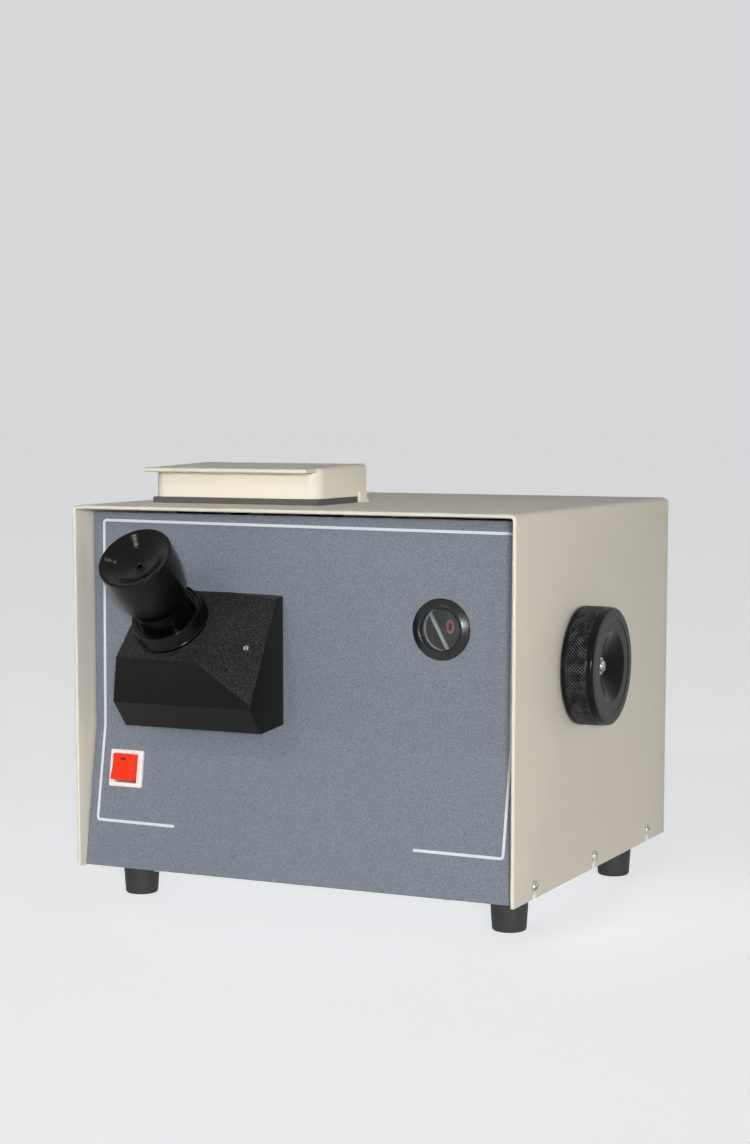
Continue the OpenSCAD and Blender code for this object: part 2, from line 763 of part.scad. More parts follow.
module rocker() {
    color([0.95, 0.25, 0.08]) home() on_toe(switch_x, switch_z) translate([0, rocker_pivot_in, 0])
        rotate([-rocker_swing / 2, 0, 0]) extrude_x(rocker_w) rocker_outline();
}

// ---- Eyepiece housing ---------------------------------------------------------------------

// How far a place across the housing is into the right-hand part, from 0 to 1
function across(x) = max(0, min(1, (x - face_x1) / (housing_x1 - face_x1)));

function mix(a, b, t) = a + (b - a) * t;

// Section of the housing at x, as [x, y, z] points from the top of the panel side round the front
function housing_section(x) = let (
    t = across(x), ridge_y = panel_recess - top_land - face_run, ridge_z = housing_top - top_land - face_run,
    nose_y = ridge_y - nose_lean, nose_z = housing_foot_z + nose_h) [
    [x, panel_recess, mix(housing_top, housing_top - 1.4, t)],
    [x, mix(panel_recess - top_land, panel_recess - 10.4, t),
        mix(housing_top - top_land, housing_top - 3.4, t)],
    [x, mix(ridge_y, nose_y + 0.1, t), mix(ridge_z, nose_z + 3, t)],
    [x, nose_y, nose_z],
    [x, nose_y + nose_run, housing_foot_z],
    [x, panel_recess, housing_foot_z + 2.6]];

slant_steps = 6;

// A closed solid through sections that all have the same number of points
module lofted(sections) {
    n = len(sections[0]);
    last = len(sections) - 1;
    polyhedron(
        points = [for (s = sections, p = s) p],
        faces = concat([[for (j = [0:n - 1]) j]],
            [for (i = [0:last - 1], j = [0:n - 1]) let (k = (j + 1) % n)
                each [[i * n + j, (i + 1) * n + j, (i + 1) * n + k],
                      [i * n + j, (i + 1) * n + k, i * n + k]]],
            [[for (j = [n - 1:-1:0]) last * n + j]]));
}

// Room for the prism, clear of the slanting right-hand part by the wall, with a block in each corner
// for a bolt
module housing_cavity() {
    w = housing_wall;
    y1 = panel_recess + over;
    difference() {
        extrude_x(housing_w - 2 * w, (housing_x0 + housing_x1) / 2) polygon([
            [y1, housing_top - 2 * w], [panel_recess - 3, housing_top - 2 * w],
            [panel_recess - 17, housing_top - 22.5], [panel_recess - 42.5, housing_foot_z + nose_h + 8],
            [panel_recess - 45.5, housing_foot_z + nose_h - 1], [panel_recess - 31, housing_foot_z + w + 1],
            [y1, housing_foot_z + w + 2.6]]);
        housing_bolts() translate([-6, -12, -6]) cube([12, 12, 12]);
    }
}

// Straight behind the eyepiece, then through sections that turn as they go to the right
module housing_block() {
    extrude_x(face_w, eyepiece_x) polygon([for (p = housing_section(face_x1)) [p[1], p[2]]]);
    lofted([for (i = [0:slant_steps]) housing_section(mix(face_x1, housing_x1, i / slant_steps))]);
}

module eyepiece_housing() {
    color([0.09, 0.09, 0.095]) home() difference() {
        housing_block();
        housing_cavity();
        on_eyepiece() translate([0, 0, -2 * collar_sleeve])
            cylinder(d = barrel_d + 2 * sleeve_wall + 0.2, h = 3 * collar_sleeve);
        housing_bolts() translate([0, -9, 0]) bar_y(m4_d, 10);
        prism_screw_places() translate([0, 0, -8]) bar_z(m4_d, 16);
    }
}

// Four screws come through the panel from behind into the housing's corners
module housing_bolts() {
    for (x = [housing_x0 + 8, housing_x1 - 8], z = [housing_foot_z + 10, housing_top - 12])
        translate([x, panel_recess, z]) children();
}

// A point of the slanting face, a little below its middle
function slant_point(x) = mix(housing_section(x)[1], housing_section(x)[2], 0.545);

// Grub screws that hold the prism carrier: one square to the slanting face, one in the left wall
module prism_screw_places() {
    x = housing_x1 - prism_screw_in;
    down = housing_section(x)[2] - housing_section(x)[1];
    out = cross(down, slant_point(x + 1) - slant_point(x - 1));
    translate(slant_point(x)) rotate([0, acos(out[2] / norm(out)), atan2(out[1], out[0])]) children();
    translate([housing_x0, panel_recess - 33, housing_top - 38]) rotate([0, -90, 0]) children();
}

module housing_screws() {
    color([0.66, 0.65, 0.62]) home() {
        housing_bolts() translate([0, plate_t, 0]) rotate([-90, 0, 0])
            pan_screw(m4_d, m4_head_d, m4_head_h, plate_t + 8, m4_slot_w);
        prism_screw_places() translate([0, 0, housing_screw_out - 9]) difference() {
            cylinder(d = m4_d, h = 9);
            translate([-m4_d, -0.4, 9 - housing_screw_out]) cube([2 * m4_d, 0.8, 2 * housing_screw_out]);
        }
    }
}

// ---- Eyepiece -----------------------------------------------------------------------------

collar_key_w = 4;

module collar() {
    bore = barrel_d / 2 + run_gap;
    sleeve_r = barrel_d / 2 + sleeve_wall;
    color([0.10, 0.10, 0.11]) home() on_eyepiece() difference() {
        rotate_extrude() polygon([[bore, -collar_sleeve], [sleeve_r, -collar_sleeve], [sleeve_r, 0],
            [collar_d / 2, 0], [collar_d / 2, 2.2], [collar_top_d / 2, collar_h], [bore + 2.6, collar_h],
            [bore + 2.2, collar_h - 1.2], [bore, collar_h - 1.2]]);
        rotate([0, 0, 90]) translate([0, -collar_key_w / 2 - 0.2, -collar_sleeve - over])
            cube([collar_d, collar_key_w + 0.4, collar_sleeve - barrel_in - 1 + over]);
        collar_screw_place() cylinder(d = 3, h = 20);
    }
}

// The collar's set screw looks out of its left front side
module collar_screw_place() {
    rotate([0, 0, 237]) translate([barrel_d / 2 + 1.2, 0, collar_h / 2 - 1]) rotate([0, 90, 0]) children();
}

module collar_screw() {
    color([0.5, 0.5, 0.5]) home() on_eyepiece() collar_screw_place() difference() {
        cylinder(d = 3, h = collar_top_d / 2 - barrel_d / 2 - 1.4);
        translate([0, 0, collar_top_d / 2 - barrel_d / 2 - 3]) cylinder(d = 1.6, h = 4, $fn = 6);
    }
}

// Glossy turned eyecup: barrel, shoulder, flare, rounded rim, dish with a peephole
module eyecup_outline() {
    r = eyecup_d / 2;
    b = barrel_d / 2;
    hole = peephole_d / 2;
    dish_z = eyecup_h - dish_depth;
    union() {
        polygon([[barrel_bore_d / 2, -barrel_in], [b, -barrel_in], [b, collar_h + focus_travel],
            [b + 1.3, eyecup_h * 0.37], [b + 2.6, eyecup_h * 0.39], [mix(b, r, 0.66), eyecup_h * 0.48],
            [r - 0.7, eyecup_h * 0.64], [r, eyecup_h * 0.76], [r, eyecup_h - rim_r], [r - rim_r, eyecup_h],
            [r - 2 * rim_r, eyecup_h - 0.6], [r * 0.55, dish_z + dish_depth * 0.42],
            [hole + 1.2, dish_z + 0.9], [hole, dish_z], [hole, dish_z - 3], [barrel_bore_d / 2, dish_z - 10]]);
        translate([r - rim_r, eyecup_h - rim_r]) circle(r = rim_r);
    }
}

module eyecup() color([0.03, 0.03, 0.035]) home() on_eyepiece() rotate_extrude() eyecup_outline();

// Slides with the eyecup but can't turn: its key runs in the collar's groove
module lens_cell() {
    color([0.25, 0.25, 0.26]) home() on_eyepiece() {
        difference() {
            translate([0, 0, -cell_in]) cylinder(d = cell_d, h = cell_in + cell_top);
            translate([0, 0, -cell_in - over])
                cylinder(d = lens_d - 2 * cell_ledge, h = cell_in + cell_top + 2 * over);
            translate([0, 0, cell_top - 6]) cylinder(d = lens_d, h = 6 + over);
        }
        rotate([0, 0, 90]) translate([cell_d / 2 - 1, -collar_key_w / 2, -cell_in + 0.5])
            cube([barrel_d / 2 + 2 - cell_d / 2 + 1, collar_key_w, 3]);
    }
}

// Points of a biconvex lens' outline, with both faces as arcs
function lens_arc(r, sag, steps = 8) = let (big = (r * r + sag * sag) / (2 * sag)) [for (i = [0:steps])
    let (x = r * i / steps) [x, sqrt(big * big - x * x) - (big - sag)]];

// The lens rests with its curved face on the inner edge of the cell's ledge
module eye_lens() {
    sag = 2;
    big = (pow(lens_d / 2, 2) + sag * sag) / (2 * sag);
    rest = sqrt(big * big - pow(lens_d / 2 - cell_ledge, 2)) - (big - sag) + 0.02;
    color([0.85, 0.9, 0.95, 0.4]) home() on_eyepiece() translate([0, 0, cell_top - 5 + rest])
        rotate_extrude() polygon(concat(reversed([for (p = lens_arc(lens_d / 2, sag)) [p[0], -1 - p[1]]]),
            [for (p = lens_arc(lens_d / 2, sag)) [p[0], 1 + p[1]]]));
}

// ---- Prisms -------------------------------------------------------------------------------

carrier_t = 3;
carrier_drop = 20;
carrier_top_z = beam_z - carrier_drop;
carrier_x0 = beam_left_x - 12;
carrier_x1 = beam_right_x + 10;
carrier_front = 23;
carrier_back = 13.5;
carrier_flange_h = 26;
half_field = 12;

// Turns the two beams up by 45 degrees, through its slanting face, into the eyepiece
module deviation_prism() {
    y1 = panel_recess - 5.5;
    color([0.85, 0.92, 0.95, 0.4]) home() extrude_x(30, eyepiece_x) polygon([
        [y1 - 16, carrier_top_z], [y1, carrier_top_z], [y1, carrier_top_z + 26],
        [y1 - 19.5, carrier_top_z + 6.5]]);
}

// Brings the right-hand beam across, so that it reaches the eyepiece beside the left-hand one
module rhomboid_prism() {
    y0 = panel_back_y + 1;
    x0 = 2 * eyepiece_x - beam_left_x - half_field / 2;
    x1 = beam_right_x - half_field / 2;
    color([0.85, 0.92, 0.95, 0.4]) home() translate([0, 0, carrier_top_z]) linear_extrude(28) polygon([
        [x0, y0], [x1, y0], [x1 + half_field, y0 + half_field], [x0 + half_field, y0 + half_field]]);
}

// A shelf through the panel's opening, with a flange behind the panel
module prism_carrier() {
    y0 = panel_recess - carrier_front;
    z0 = carrier_top_z - carrier_t;
    w = carrier_x1 - carrier_x0;
    color([0.3, 0.3, 0.3]) home() {
        translate([carrier_x0, y0, z0]) cube([w, panel_back_y + carrier_back - y0, carrier_t]);
        translate([carrier_x0, panel_back_y, z0 - carrier_flange_h]) cube([w, carrier_t, carrier_flange_h]);
    }
}

// ---- Lid ----------------------------------------------------------------------------------

// Plan of the lid's walls: round at the two front corners
module lid_plan(inset = 0) {
    r = lid_corner_r - inset;
    x0 = lid_x0 + inset;
    x1 = lid_x1 - inset;
    translate([x0, lid_y + inset + r]) square([x1 - x0, lid_d - 2 * inset - r]);
    translate([x0 + r, lid_y + inset]) square([x1 - x0 - 2 * r, r + over]);
    for (x = [x0 + r, x1 - r]) translate([x, lid_y + inset + r]) circle(r = r);
}

// Side view of the lid: its top slopes up to a bend at the back
module lid_side(inset = 0) {
    r = lid_bend_r - inset;
    y0 = lid_y - over;
    y1 = lid_y1 - inset;
    tip = [lid_bend_y - r * sin(lid_slope), lid_bend_z + r * cos(lid_slope)];
    polygon([[y0, case_h], [y1, case_h], [y1, lid_bend_z], [lid_bend_y, lid_bend_z], tip,
             [y0, tip[1] - (tip[0] - y0) * tan(lid_slope)]]);
    translate([lid_bend_y, lid_bend_z]) circle(r = r);
}

module lid() {
    seam = 0.7;
    hole_d = hinge_pin_d + 2 * run_gap;
    color([0.86, 0.84, 0.77]) home() difference() {
        union() {
            difference() {
                intersection() {
                    translate([0, 0, lid_foot_z]) linear_extrude(lid_top + lid_rise) lid_plan();
                    extrude_x(2 * case_w) lid_side();
                }
                intersection() {
                    translate([0, 0, lid_foot_z - over]) linear_extrude(lid_top + lid_rise) lid_plan(lid_t);
                    extrude_x(2 * case_w) lid_side(lid_t);
                }
                translate([lid_x0 - over, lid_y - over, lid_z1 - lip_t - seam])
                    cube([lid_w + 2 * over, over + 0.8, seam]);
            }
            translate([lid_mid_x, lid_y - lip_d / 2 + 0.4, lid_z1 - lip_t]) linear_extrude(lip_t)
                round_plate(lid_w - 3, lip_d + 0.8 + 2 * 1.5, 1.5);
            for (x = [lid_x0, lid_x1 - lid_t]) lid_lug(x);
        }
        for (x = [lid_x0, lid_x1 - lid_t])
            translate([x - over, hinge_y, hinge_z]) bar_x(hole_d, lid_t + 2 * over);
    }
}

// Lug under a side wall, inside the ear, that turns on the hinge pin
module lid_lug(x) {
    translate([x, hinge_y, hinge_z]) bar_x(2 * hinge_lug_r, lid_t);
    translate([x, hinge_y - hinge_lug_r, hinge_z]) cube([lid_t, 2 * hinge_lug_r, lid_foot_z - hinge_z + 3]);
}

// Foam strips with butt joints: front and back strips run the whole width
module lid_gasket() {
    y0 = well_y - mouth_d / 2 - gasket_w;
    color([0.25, 0.26, 0.27]) home() translate([0, 0, case_h]) {
        for (y = [y0, gasket_y1 - gasket_w]) translate([lid_x0, y, 0]) cube([lid_w, gasket_w, gasket_h]);
        for (x = [lid_x0, lid_x1 - gasket_w])
            translate([x, y0 + gasket_w + 0.2, 0])
                cube([gasket_w, gasket_y1 - y0 - 2 * gasket_w - 0.4, gasket_h]);
    }
}

// The inner front corner of an ear, on the casing's top, mirrored for the left one
module ear_place(side) {
    if (side > 0) translate([lid_x1 + ear_gap, ear_y1 - ear_len, case_h]) children();
    else translate([2 * lid_mid_x, 0, 0]) mirror([1, 0, 0])
        translate([lid_x1 + ear_gap, ear_y1 - ear_len, case_h]) children();
}

module hinge_ears() {
    foot_len = 14;
    under = sheet_t + ear_t;
    color([0.80, 0.78, 0.71]) home() for (s = [-1, 1]) ear_place(s) difference() {
        union() {
            translate([0, 0, -under]) cube([ear_t, ear_len, ear_h + under]);
            translate([0, 0, -under]) cube([foot_len, ear_len, ear_t]);
        }
        translate([-over, hinge_y - (ear_y1 - ear_len), hinge_z - case_h])
            bar_x(hinge_pin_d, ear_t + 2 * over);
    }
}

module hinge_pins() {
    pin_len = ear_t + ear_gap + lid_t + 0.4;
    color([0.72, 0.72, 0.7]) home() for (s = [-1, 1]) ear_place(s)
        translate([ear_t - pin_len, hinge_y - (ear_y1 - ear_len), hinge_z - case_h]) {
            bar_x(hinge_pin_d, pin_len);
            translate([pin_len, 0, 0]) bar_x(hinge_pin_d + 2, pin_head_t);
        }
}

// ---- Wells --------------------------------------------------------------------------------

module well_stand() {
    x0 = mouth_x0 - 6;
    x1 = mouth_x1 + 6;
    y0 = well_y - mouth_d / 2 - 5;
    z1 = well_top_z - well_flange_t;
    color([0.16, 0.16, 0.17]) home() difference() {
        union() {
            translate([x0, y0, z1 - stand_t]) cube([x1 - x0, mouth_d + 10, stand_t]);
            for (x = [x0, x1 - stand_t])
                translate([x, y0 + 10, base_top]) cube([stand_t, mouth_d - 10, z1 - base_top - over]);
            for (x = [x0, x1 - 14]) translate([x, y0 + 10, base_top]) cube([14, mouth_d - 10, stand_t]);
        }
        for (x = beam_xs) translate([x, well_y, z1 - stand_t - over])
            bar_z(well_d + 0.2, stand_t + 2 * over);
    }
}

module well(x) {
    home() translate([x, well_y, 0]) difference() {
        union() {
            translate([0, 0, well_floor_z - 3]) cylinder(d = well_d, h = well_depth + 3);
            translate([0, 0, well_top_z - well_flange_t]) cylinder(d = well_flange_d, h = well_flange_t);
        }
        translate([0, 0, well_floor_z]) cylinder(d = well_bore_d, h = well_depth + over);
        translate([0, -well_d, beam_z]) bar_y(beam_d, 2 * well_d);
    }
}

module sample_well() color([0.13, 0.13, 0.14]) well(beam_left_x);
module reference_well() color([0.13, 0.13, 0.14]) well(beam_right_x);

// ---- Handwheel ----------------------------------------------------------------------------

module wheel_outline() {
    r = wheel_d / 2;
    bore = shaft_d / 2;
    back_r = 2;
    q = wheel_edge_r;
    dish = wheel_dish_d / 2;
    floor_z = wheel_t - wheel_dish_depth;
    difference() {
        union() {
            translate([bore, 0]) square([r - back_r - bore, wheel_t]);
            translate([bore, back_r]) square([r - bore, wheel_t - q - back_r]);
            translate([r - back_r, back_r]) circle(r = back_r);
            translate([r - q, wheel_t - q]) circle(r = q);
            translate([bore, -wheel_gap + 1]) square([12 - bore, wheel_gap]);
        }
        translate([r - q, wheel_t - q]) difference() {
            square([q + over, q + over]);
            circle(r = q);
        }
        polygon([[0, floor_z], [8, floor_z], [dish, wheel_t - 0.8], [dish + 1, wheel_t],
                 [dish + 1, wheel_t + over], [0, wheel_t + over]]);
        translate([18, -over]) square([r - 24, 7 + over]);
    }
}

module handwheel() {
    color([0.07, 0.07, 0.075]) home() translate([wheel_x0, wheel_y, wheel_z]) rotate([0, 90, 0])
        rotate_extrude() wheel_outline();
}

module wheel_screw() {
    color([0.8, 0.79, 0.75]) home() translate([wheel_floor_x, wheel_y, wheel_z]) rotate([0, 90, 0]) {
        translate([0, 0, 1.2]) pan_screw(5, 9, 2.6, 16, 1.4);
        ring(13, 5, 1.2);
    }
}

module wheel_shaft() {
    x0 = disc_x + cone_r * 0.5;
    color([0.7, 0.7, 0.71]) home() difference() {
        translate([x0, wheel_y, wheel_z]) bar_x(shaft_d, wheel_floor_x - x0);
        translate([wheel_floor_x - 15, wheel_y, wheel_z]) bar_x(5, 20);
    }
}

module shaft_collars() {
    x_inner = bracket_x_inner + bracket_t + bush_flange_t + collar_gap;
    x_outer = bracket_x_outer - bush_in - collar_gap - shaft_collar_w;
    color([0.6, 0.6, 0.6]) home() for (x = [x_inner, x_outer])
        translate([x, wheel_y, wheel_z]) rotate([0, 90, 0]) difference() {
            ring(shaft_d + 2 * shaft_collar_wall, shaft_d, shaft_collar_w);
            translate([0, 0, shaft_collar_w / 2]) rotate([90, 0, 0]) cylinder(d = 3, h = shaft_d);
        }
}

module shaft_brackets() {
    top = wheel_z + bush_d / 2 + bracket_rise;
    y0 = wheel_y - bracket_w / 2;
    color([0.62, 0.63, 0.62]) home() for (x = [bracket_x_inner, bracket_x_outer]) difference() {
        union() {
            translate([x, y0, base_top]) cube([bracket_t, bracket_w, top - base_top]);
            translate([x - bracket_foot, y0, base_top])
                cube([bracket_foot + bracket_t, bracket_w, bracket_t]);
        }
        translate([x - over, wheel_y, wheel_z]) bar_x(bush_d, bracket_t + 2 * over);
    }
}

module shaft_bushes() {
    color([0.72, 0.55, 0.28]) home() for (x = [bracket_x_inner, bracket_x_outer])
        translate([x - bush_in, wheel_y, wheel_z]) rotate([0, 90, 0]) {
            ring(bush_d, shaft_run_d, bracket_t + bush_in + bush_flange_t);
            translate([0, 0, bush_in + bracket_t])
                ring(bush_d + 2 * bush_flange_w, shaft_run_d, bush_flange_t);
        }
}

// ---- Bevel gears --------------------------------------------------------------------------

// A point at a distance from the apex, at an angle to the gear's axis, turned by phi
function cone_point(r, angle, phi) = [r * sin(angle) * cos(phi), r * sin(angle) * sin(phi), r * cos(angle)];

// Half of a tooth's width, as an angle about the axis, at an angle above the pitch cone
function tooth_half(lift) = let (
    pitch_half = PI * gear_module / 4 - backlash / 2,
    h = cone_r * tan(lift))
    (pitch_half - h * tan(20)) / (cone_r * sin(45 + lift)) * 180 / PI;

// One ring of teeth at a distance from the apex: root, tip, tip, root for each tooth
function tooth_ring(r) = [for (i = [0:gear_teeth - 1]) let (
    mid = i * 360 / gear_teeth, root = tooth_half(-dedendum_angle), tip = tooth_half(addendum_angle))
    each [cone_point(r, 45 - dedendum_angle, mid - root), cone_point(r, 45 + addendum_angle, mid - tip),
          cone_point(r, 45 + addendum_angle, mid + tip), cone_point(r, 45 - dedendum_angle, mid + root)]];

// The same number of points on the inside of the toothed ring
function core_ring(r) = [for (p = tooth_ring(r)) cone_point(r, gear_core_angle, atan2(p[1], p[0]))];

// Toothed ring with its apex at the origin and its axis along +Z, the heel farther out
module toothed_ring() {
    toe = cone_r - gear_face;
    rings = [tooth_ring(toe), tooth_ring(cone_r), core_ring(cone_r), core_ring(toe)];
    n = len(rings[0]);
    polyhedron(
        points = [for (ring = rings, p = ring) p],
        faces = [for (i = [0:3], j = [0:n - 1]) let (k = (j + 1) % n, m = (i + 1) % 4)
            each [[i * n + j, m * n + k, i * n + k], [i * n + j, m * n + j, m * n + k]]]);
}

// The whole gear: toothed ring and a hub that reaches hub_end from the apex
module bevel(hub_end) {
    hub_start = (cone_r - gear_face) * cos(gear_core_angle);
    difference() {
        union() {
            toothed_ring();
            translate([0, 0, hub_start]) cylinder(d = shaft_d + 7, h = hub_end - hub_start);
        }
        translate([0, 0, -over]) cylinder(d = shaft_d, h = hub_end + 2 * over);
    }
}

module bevel_gear() {
    color([0.75, 0.6, 0.3]) home() at_apex() rotate([90, 0, 0]) bevel(wheel_y - post_y1 - 0.6);
}

module bevel_pinion() {
    color([0.55, 0.55, 0.56]) home() at_apex() rotate([0, 90, 0]) rotate([0, 0, 180 / gear_teeth])
        bevel(cone_r + 9);
}

// ---- Colour disc --------------------------------------------------------------------------

// Places of the disc's holes, by number, with the first one in the right-hand beam
module at_glass(i) {
    a = glass_angle + i * 360 / disc_holes;
    translate([disc_x + glass_ring_r * cos(a), disc_y, wheel_z + glass_ring_r * sin(a)]) children();
}

hub_d = 42;
hub_screw_r = 15;

module colour_disc() {
    color([0.12, 0.12, 0.13]) home() difference() {
        translate([disc_x, disc_y, wheel_z]) bar_y(2 * disc_r, disc_t);
        for (i = [0:disc_holes - 1]) at_glass(i) {
            translate([0, -over, 0]) bar_y(glass_d - 2, disc_t + 2 * over);
            translate([0, (disc_t - glass_t) / 2, 0]) bar_y(glass_d + 0.2, disc_t);
        }
        translate([disc_x, disc_y - over, wheel_z]) bar_y(shaft_d, disc_t + 2 * over);
    }
}

// A glass in every hole but the first; each one is a shade darker than the last
module colour_glasses() {
    home() for (i = [1:disc_holes - 1]) color([0.98 - 0.018 * i, 0.9 - 0.032 * i, 0.5 - 0.018 * i, 0.7])
        at_glass(i) translate([0, (disc_t - glass_t) / 2, 0]) bar_y(glass_d, glass_t);
}

module disc_hub() {
    color([0.7, 0.7, 0.7]) home() {
        difference() {
            translate([disc_x, disc_y + disc_t, wheel_z]) union() {
                bar_y(hub_d, hub_flange_t);
                bar_y(shaft_d + 10, hub_y1 - disc_y - disc_t);
            }
            translate([disc_x, disc_y, wheel_z]) bar_y(shaft_d, 40);
        }
        translate([disc_x, disc_y - 2.2, wheel_z]) rotate([-90, 0, 0]) ring(hub_d - 10, shaft_d, 2.2);
    }
}

module disc_axle() {
    y0 = disc_y - 4;
    color([0.72, 0.72, 0.73]) home() translate([disc_x, y0, wheel_z])
        bar_y(shaft_d, wheel_y - cone_r * 0.5 - y0);
}

module disc_bearings() {
    color([0.66, 0.67, 0.69]) home() for (y = [post_y0, post_y1 - bearing_w])
        translate([disc_x, y, wheel_z]) rotate([-90, 0, 0]) difference() {
            ring(bearing_d, shaft_run_d, bearing_w);
            for (z = [-over, bearing_w - 1]) translate([0, 0, z])
                ring(bearing_d - 4, shaft_d + 5, 1 + over);
        }
}

module bearing_post() {
    plate_y = (post_y0 + post_y1) / 2 - bracket_t;
    color([0.4, 0.41, 0.42]) home() difference() {
        union() {
            translate([disc_x, post_y0, wheel_z]) bar_y(post_boss_d, bearing_span);
            translate([disc_x - post_w / 2, plate_y, base_top])
                cube([post_w, 2 * bracket_t, wheel_z - base_top]);
            translate([disc_x - post_foot_w / 2, plate_y - post_foot_reach, base_top])
                cube([post_foot_w, 2 * (bracket_t + post_foot_reach), post_foot_t]);
        }
        translate([disc_x, post_y0 - over, wheel_z]) bar_y(bearing_d - 4, bearing_span + 2 * over);
        for (y = [post_y0 - over, post_y1 - bearing_w])
            translate([disc_x, y, wheel_z]) bar_y(bearing_d, bearing_w + over);
    }
}

// ---- Lamp ---------------------------------------------------------------------------------

// Sheet box round the lamp, open at the back and underneath, with a window for the filters
module lamp_house() {
    w = lamp_house_w;
    d = lamp_house_d;
    h = lamp_house_top - base_top;
    t = lamp_sheet;
    color([0.78, 0.78, 0.76]) home() translate([lamp_x - w / 2, lamp_house_y0, base_top]) difference() {
        cube([w, d, h]);
        translate([t, t, -over]) cube([w - 2 * t, d, h - t + over]);
        for (x = beam_xs) translate([x - lamp_x + w / 2, -over, beam_z - base_top])
            bar_y(beam_d + 10, t + 2 * over);
        for (i = [-3:3]) translate([w / 2 + i * 14 - 2.5, d / 2 - 30, h - t - over])
            cube([5, 60, t + 2 * over]);
    }
}

module lamp_holder() {
    color([0.92, 0.91, 0.88]) home() translate([lamp_x, lamp_y, holder_z]) difference() {
        union() {
            cylinder(d = holder_d, h = holder_h);
            cylinder(d = holder_d + 8, h = 8);
        }
        translate([0, 0, holder_h - 26]) cylinder(d = bulb_neck_d + 1, h = 26 + over);
    }
}

module lamp_bracket() {
    w = 50;
    color([0.7, 0.7, 0.7]) home() translate([lamp_x - w / 2, lamp_y - w / 2, 0]) {
        translate([0, 0, holder_z - 3]) cube([w, w, 3]);
        for (x = [0, w - 3]) translate([x, 0, base_top]) cube([3, w, holder_z - base_top]);
    }
}

module lamp_bulb() {
    neck_z = holder_z + holder_h - 24 - lamp_z;
    color([0.97, 0.97, 0.93]) home() translate([lamp_x, lamp_y, lamp_z]) {
        sphere(d = bulb_d);
        translate([0, 0, neck_z]) cylinder(d = bulb_neck_d, h = -neck_z - bulb_d / 2 + 6);
    }
}

filter_y1 = lamp_house_y0 - 0.2;

module filter_frame() {
    w = lamp_house_w - 6;
    depth = 2 * filter_t + 4;
    color([0.2, 0.2, 0.21]) home() translate([lamp_x, filter_y1, beam_z]) difference() {
        translate([-w / 2, -depth, -window_plate_h / 2 - 4]) cube([w, depth, window_plate_h + 8]);
        translate([-w / 2 + 4, -depth + 1, -window_plate_h / 2]) cube([w - 8, depth - 2, window_plate_h + 5]);
        for (x = beam_xs) translate([x - lamp_x, -depth - over, 0]) bar_y(beam_d + 6, depth + 2 * over);
    }
}

module filter_plate(y) {
    w = lamp_house_w - 15;
    home() translate([lamp_x - w / 2, y, beam_z - window_plate_h / 2]) cube([w, filter_t, window_plate_h]);
}

module opal_glass() color([0.96, 0.96, 0.94]) filter_plate(filter_y1 - filter_t - 1.2);
module daylight_glass() color([0.55, 0.72, 0.9, 0.6]) filter_plate(filter_y1 - 2 * filter_t - 1.8);

// ---- Rear fittings ------------------------------------------------------------------------

module mains_inlet() {
    face_y = rear_y + plate_t;
    color([0.06, 0.06, 0.065]) home() translate([inlet_x, face_y, inlet_z]) difference() {
        union() {
            rotate([-90, 0, 0]) linear_extrude(inlet_flange[2])
                round_plate(inlet_flange[0] + 16, inlet_flange[1], 3);
            translate([-inlet_body[0] / 2, -inlet_body[2], -inlet_body[1] / 2])
                cube([inlet_body[0], inlet_body[2] + over, inlet_body[1]]);
        }
        translate([-inlet_socket[0] / 2, inlet_flange[2] - inlet_socket[2], -inlet_socket[1] / 2])
            cube([inlet_socket[0], inlet_socket[2] + over, inlet_socket[1]]);
        for (s = [-1, 1]) translate([s * 20, -over, 0]) bar_y(3.2, inlet_flange[2] + 2 * over);
        inlet_pin_blades();
    }
}

// Three blades that pass through the floor of the inlet's socket
module inlet_pin_blades() {
    y0 = inlet_flange[2] - inlet_socket[2];
    for (p = inlet_pin_places)
        translate([p[0] - blade[0] / 2, y0 - blade_back, p[1] - blade[2] / 2]) cube(blade);
}

module inlet_pins() {
    color([0.8, 0.78, 0.7]) home() translate([inlet_x, rear_y + plate_t, inlet_z]) inlet_pin_blades();
}

module fuse_holder() {
    face_y = rear_y + plate_t;
    color([0.07, 0.07, 0.07]) home() translate([fuse_x, face_y, inlet_z]) difference() {
        union() {
            bar_y(fuse_d + 3, 2);
            translate([0, -28, 0]) bar_y(fuse_d - 2, 29);
        }
        translate([0, -24, 0]) bar_y(7, 40);
    }
}

module fuse_cap() {
    face_y = rear_y + plate_t + 2;
    color([0.1, 0.1, 0.1]) home() translate([fuse_x, face_y, inlet_z]) difference() {
        union() {
            bar_y(fuse_d, 8);
            translate([0, -16, 0]) bar_y(6.4, 17);
        }
        translate([-0.8, 6.4, -fuse_d]) cube([1.6, 4, 2 * fuse_d]);
    }
}

casing();
casing_screws();
base_plate();
feet();
foot_screws();
foot_nuts();
front_panel();
rear_panel();
panel_screws();
window_ring();
window_glass();
window_nut();
number_index();
switch_body();
rocker();
eyepiece_housing();
housing_screws();
collar();
collar_screw();
eyecup();
lens_cell();
eye_lens();
deviation_prism();
rhomboid_prism();
prism_carrier();
lid();
lid_gasket();
hinge_ears();
hinge_pins();
well_stand();
sample_well();
reference_well();
handwheel();
wheel_screw();
wheel_shaft();
bevel_pinion();
shaft_collars();
shaft_brackets();
shaft_bushes();
colour_disc();
colour_glasses();
disc_hub();
disc_axle();
bevel_gear();
disc_bearings();
bearing_post();
lamp_house();
lamp_holder();
lamp_bracket();
lamp_bulb();
filter_frame();
opal_glass();
daylight_glass();
mains_inlet();
inlet_pins();
fuse_holder();
fuse_cap();
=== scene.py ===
# %% [markdown]
# # A benchtop colorimeter
# A folded sheet-metal case stands on four rubber feet. A grey-blue panel is set back inside it, with an
# eyepiece, a round number window and a rocker switch, and a black handwheel turns a disc of coloured
# glasses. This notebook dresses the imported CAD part, piece by piece, and lights it for a picture.

# %% Load the frame and note its box
import math

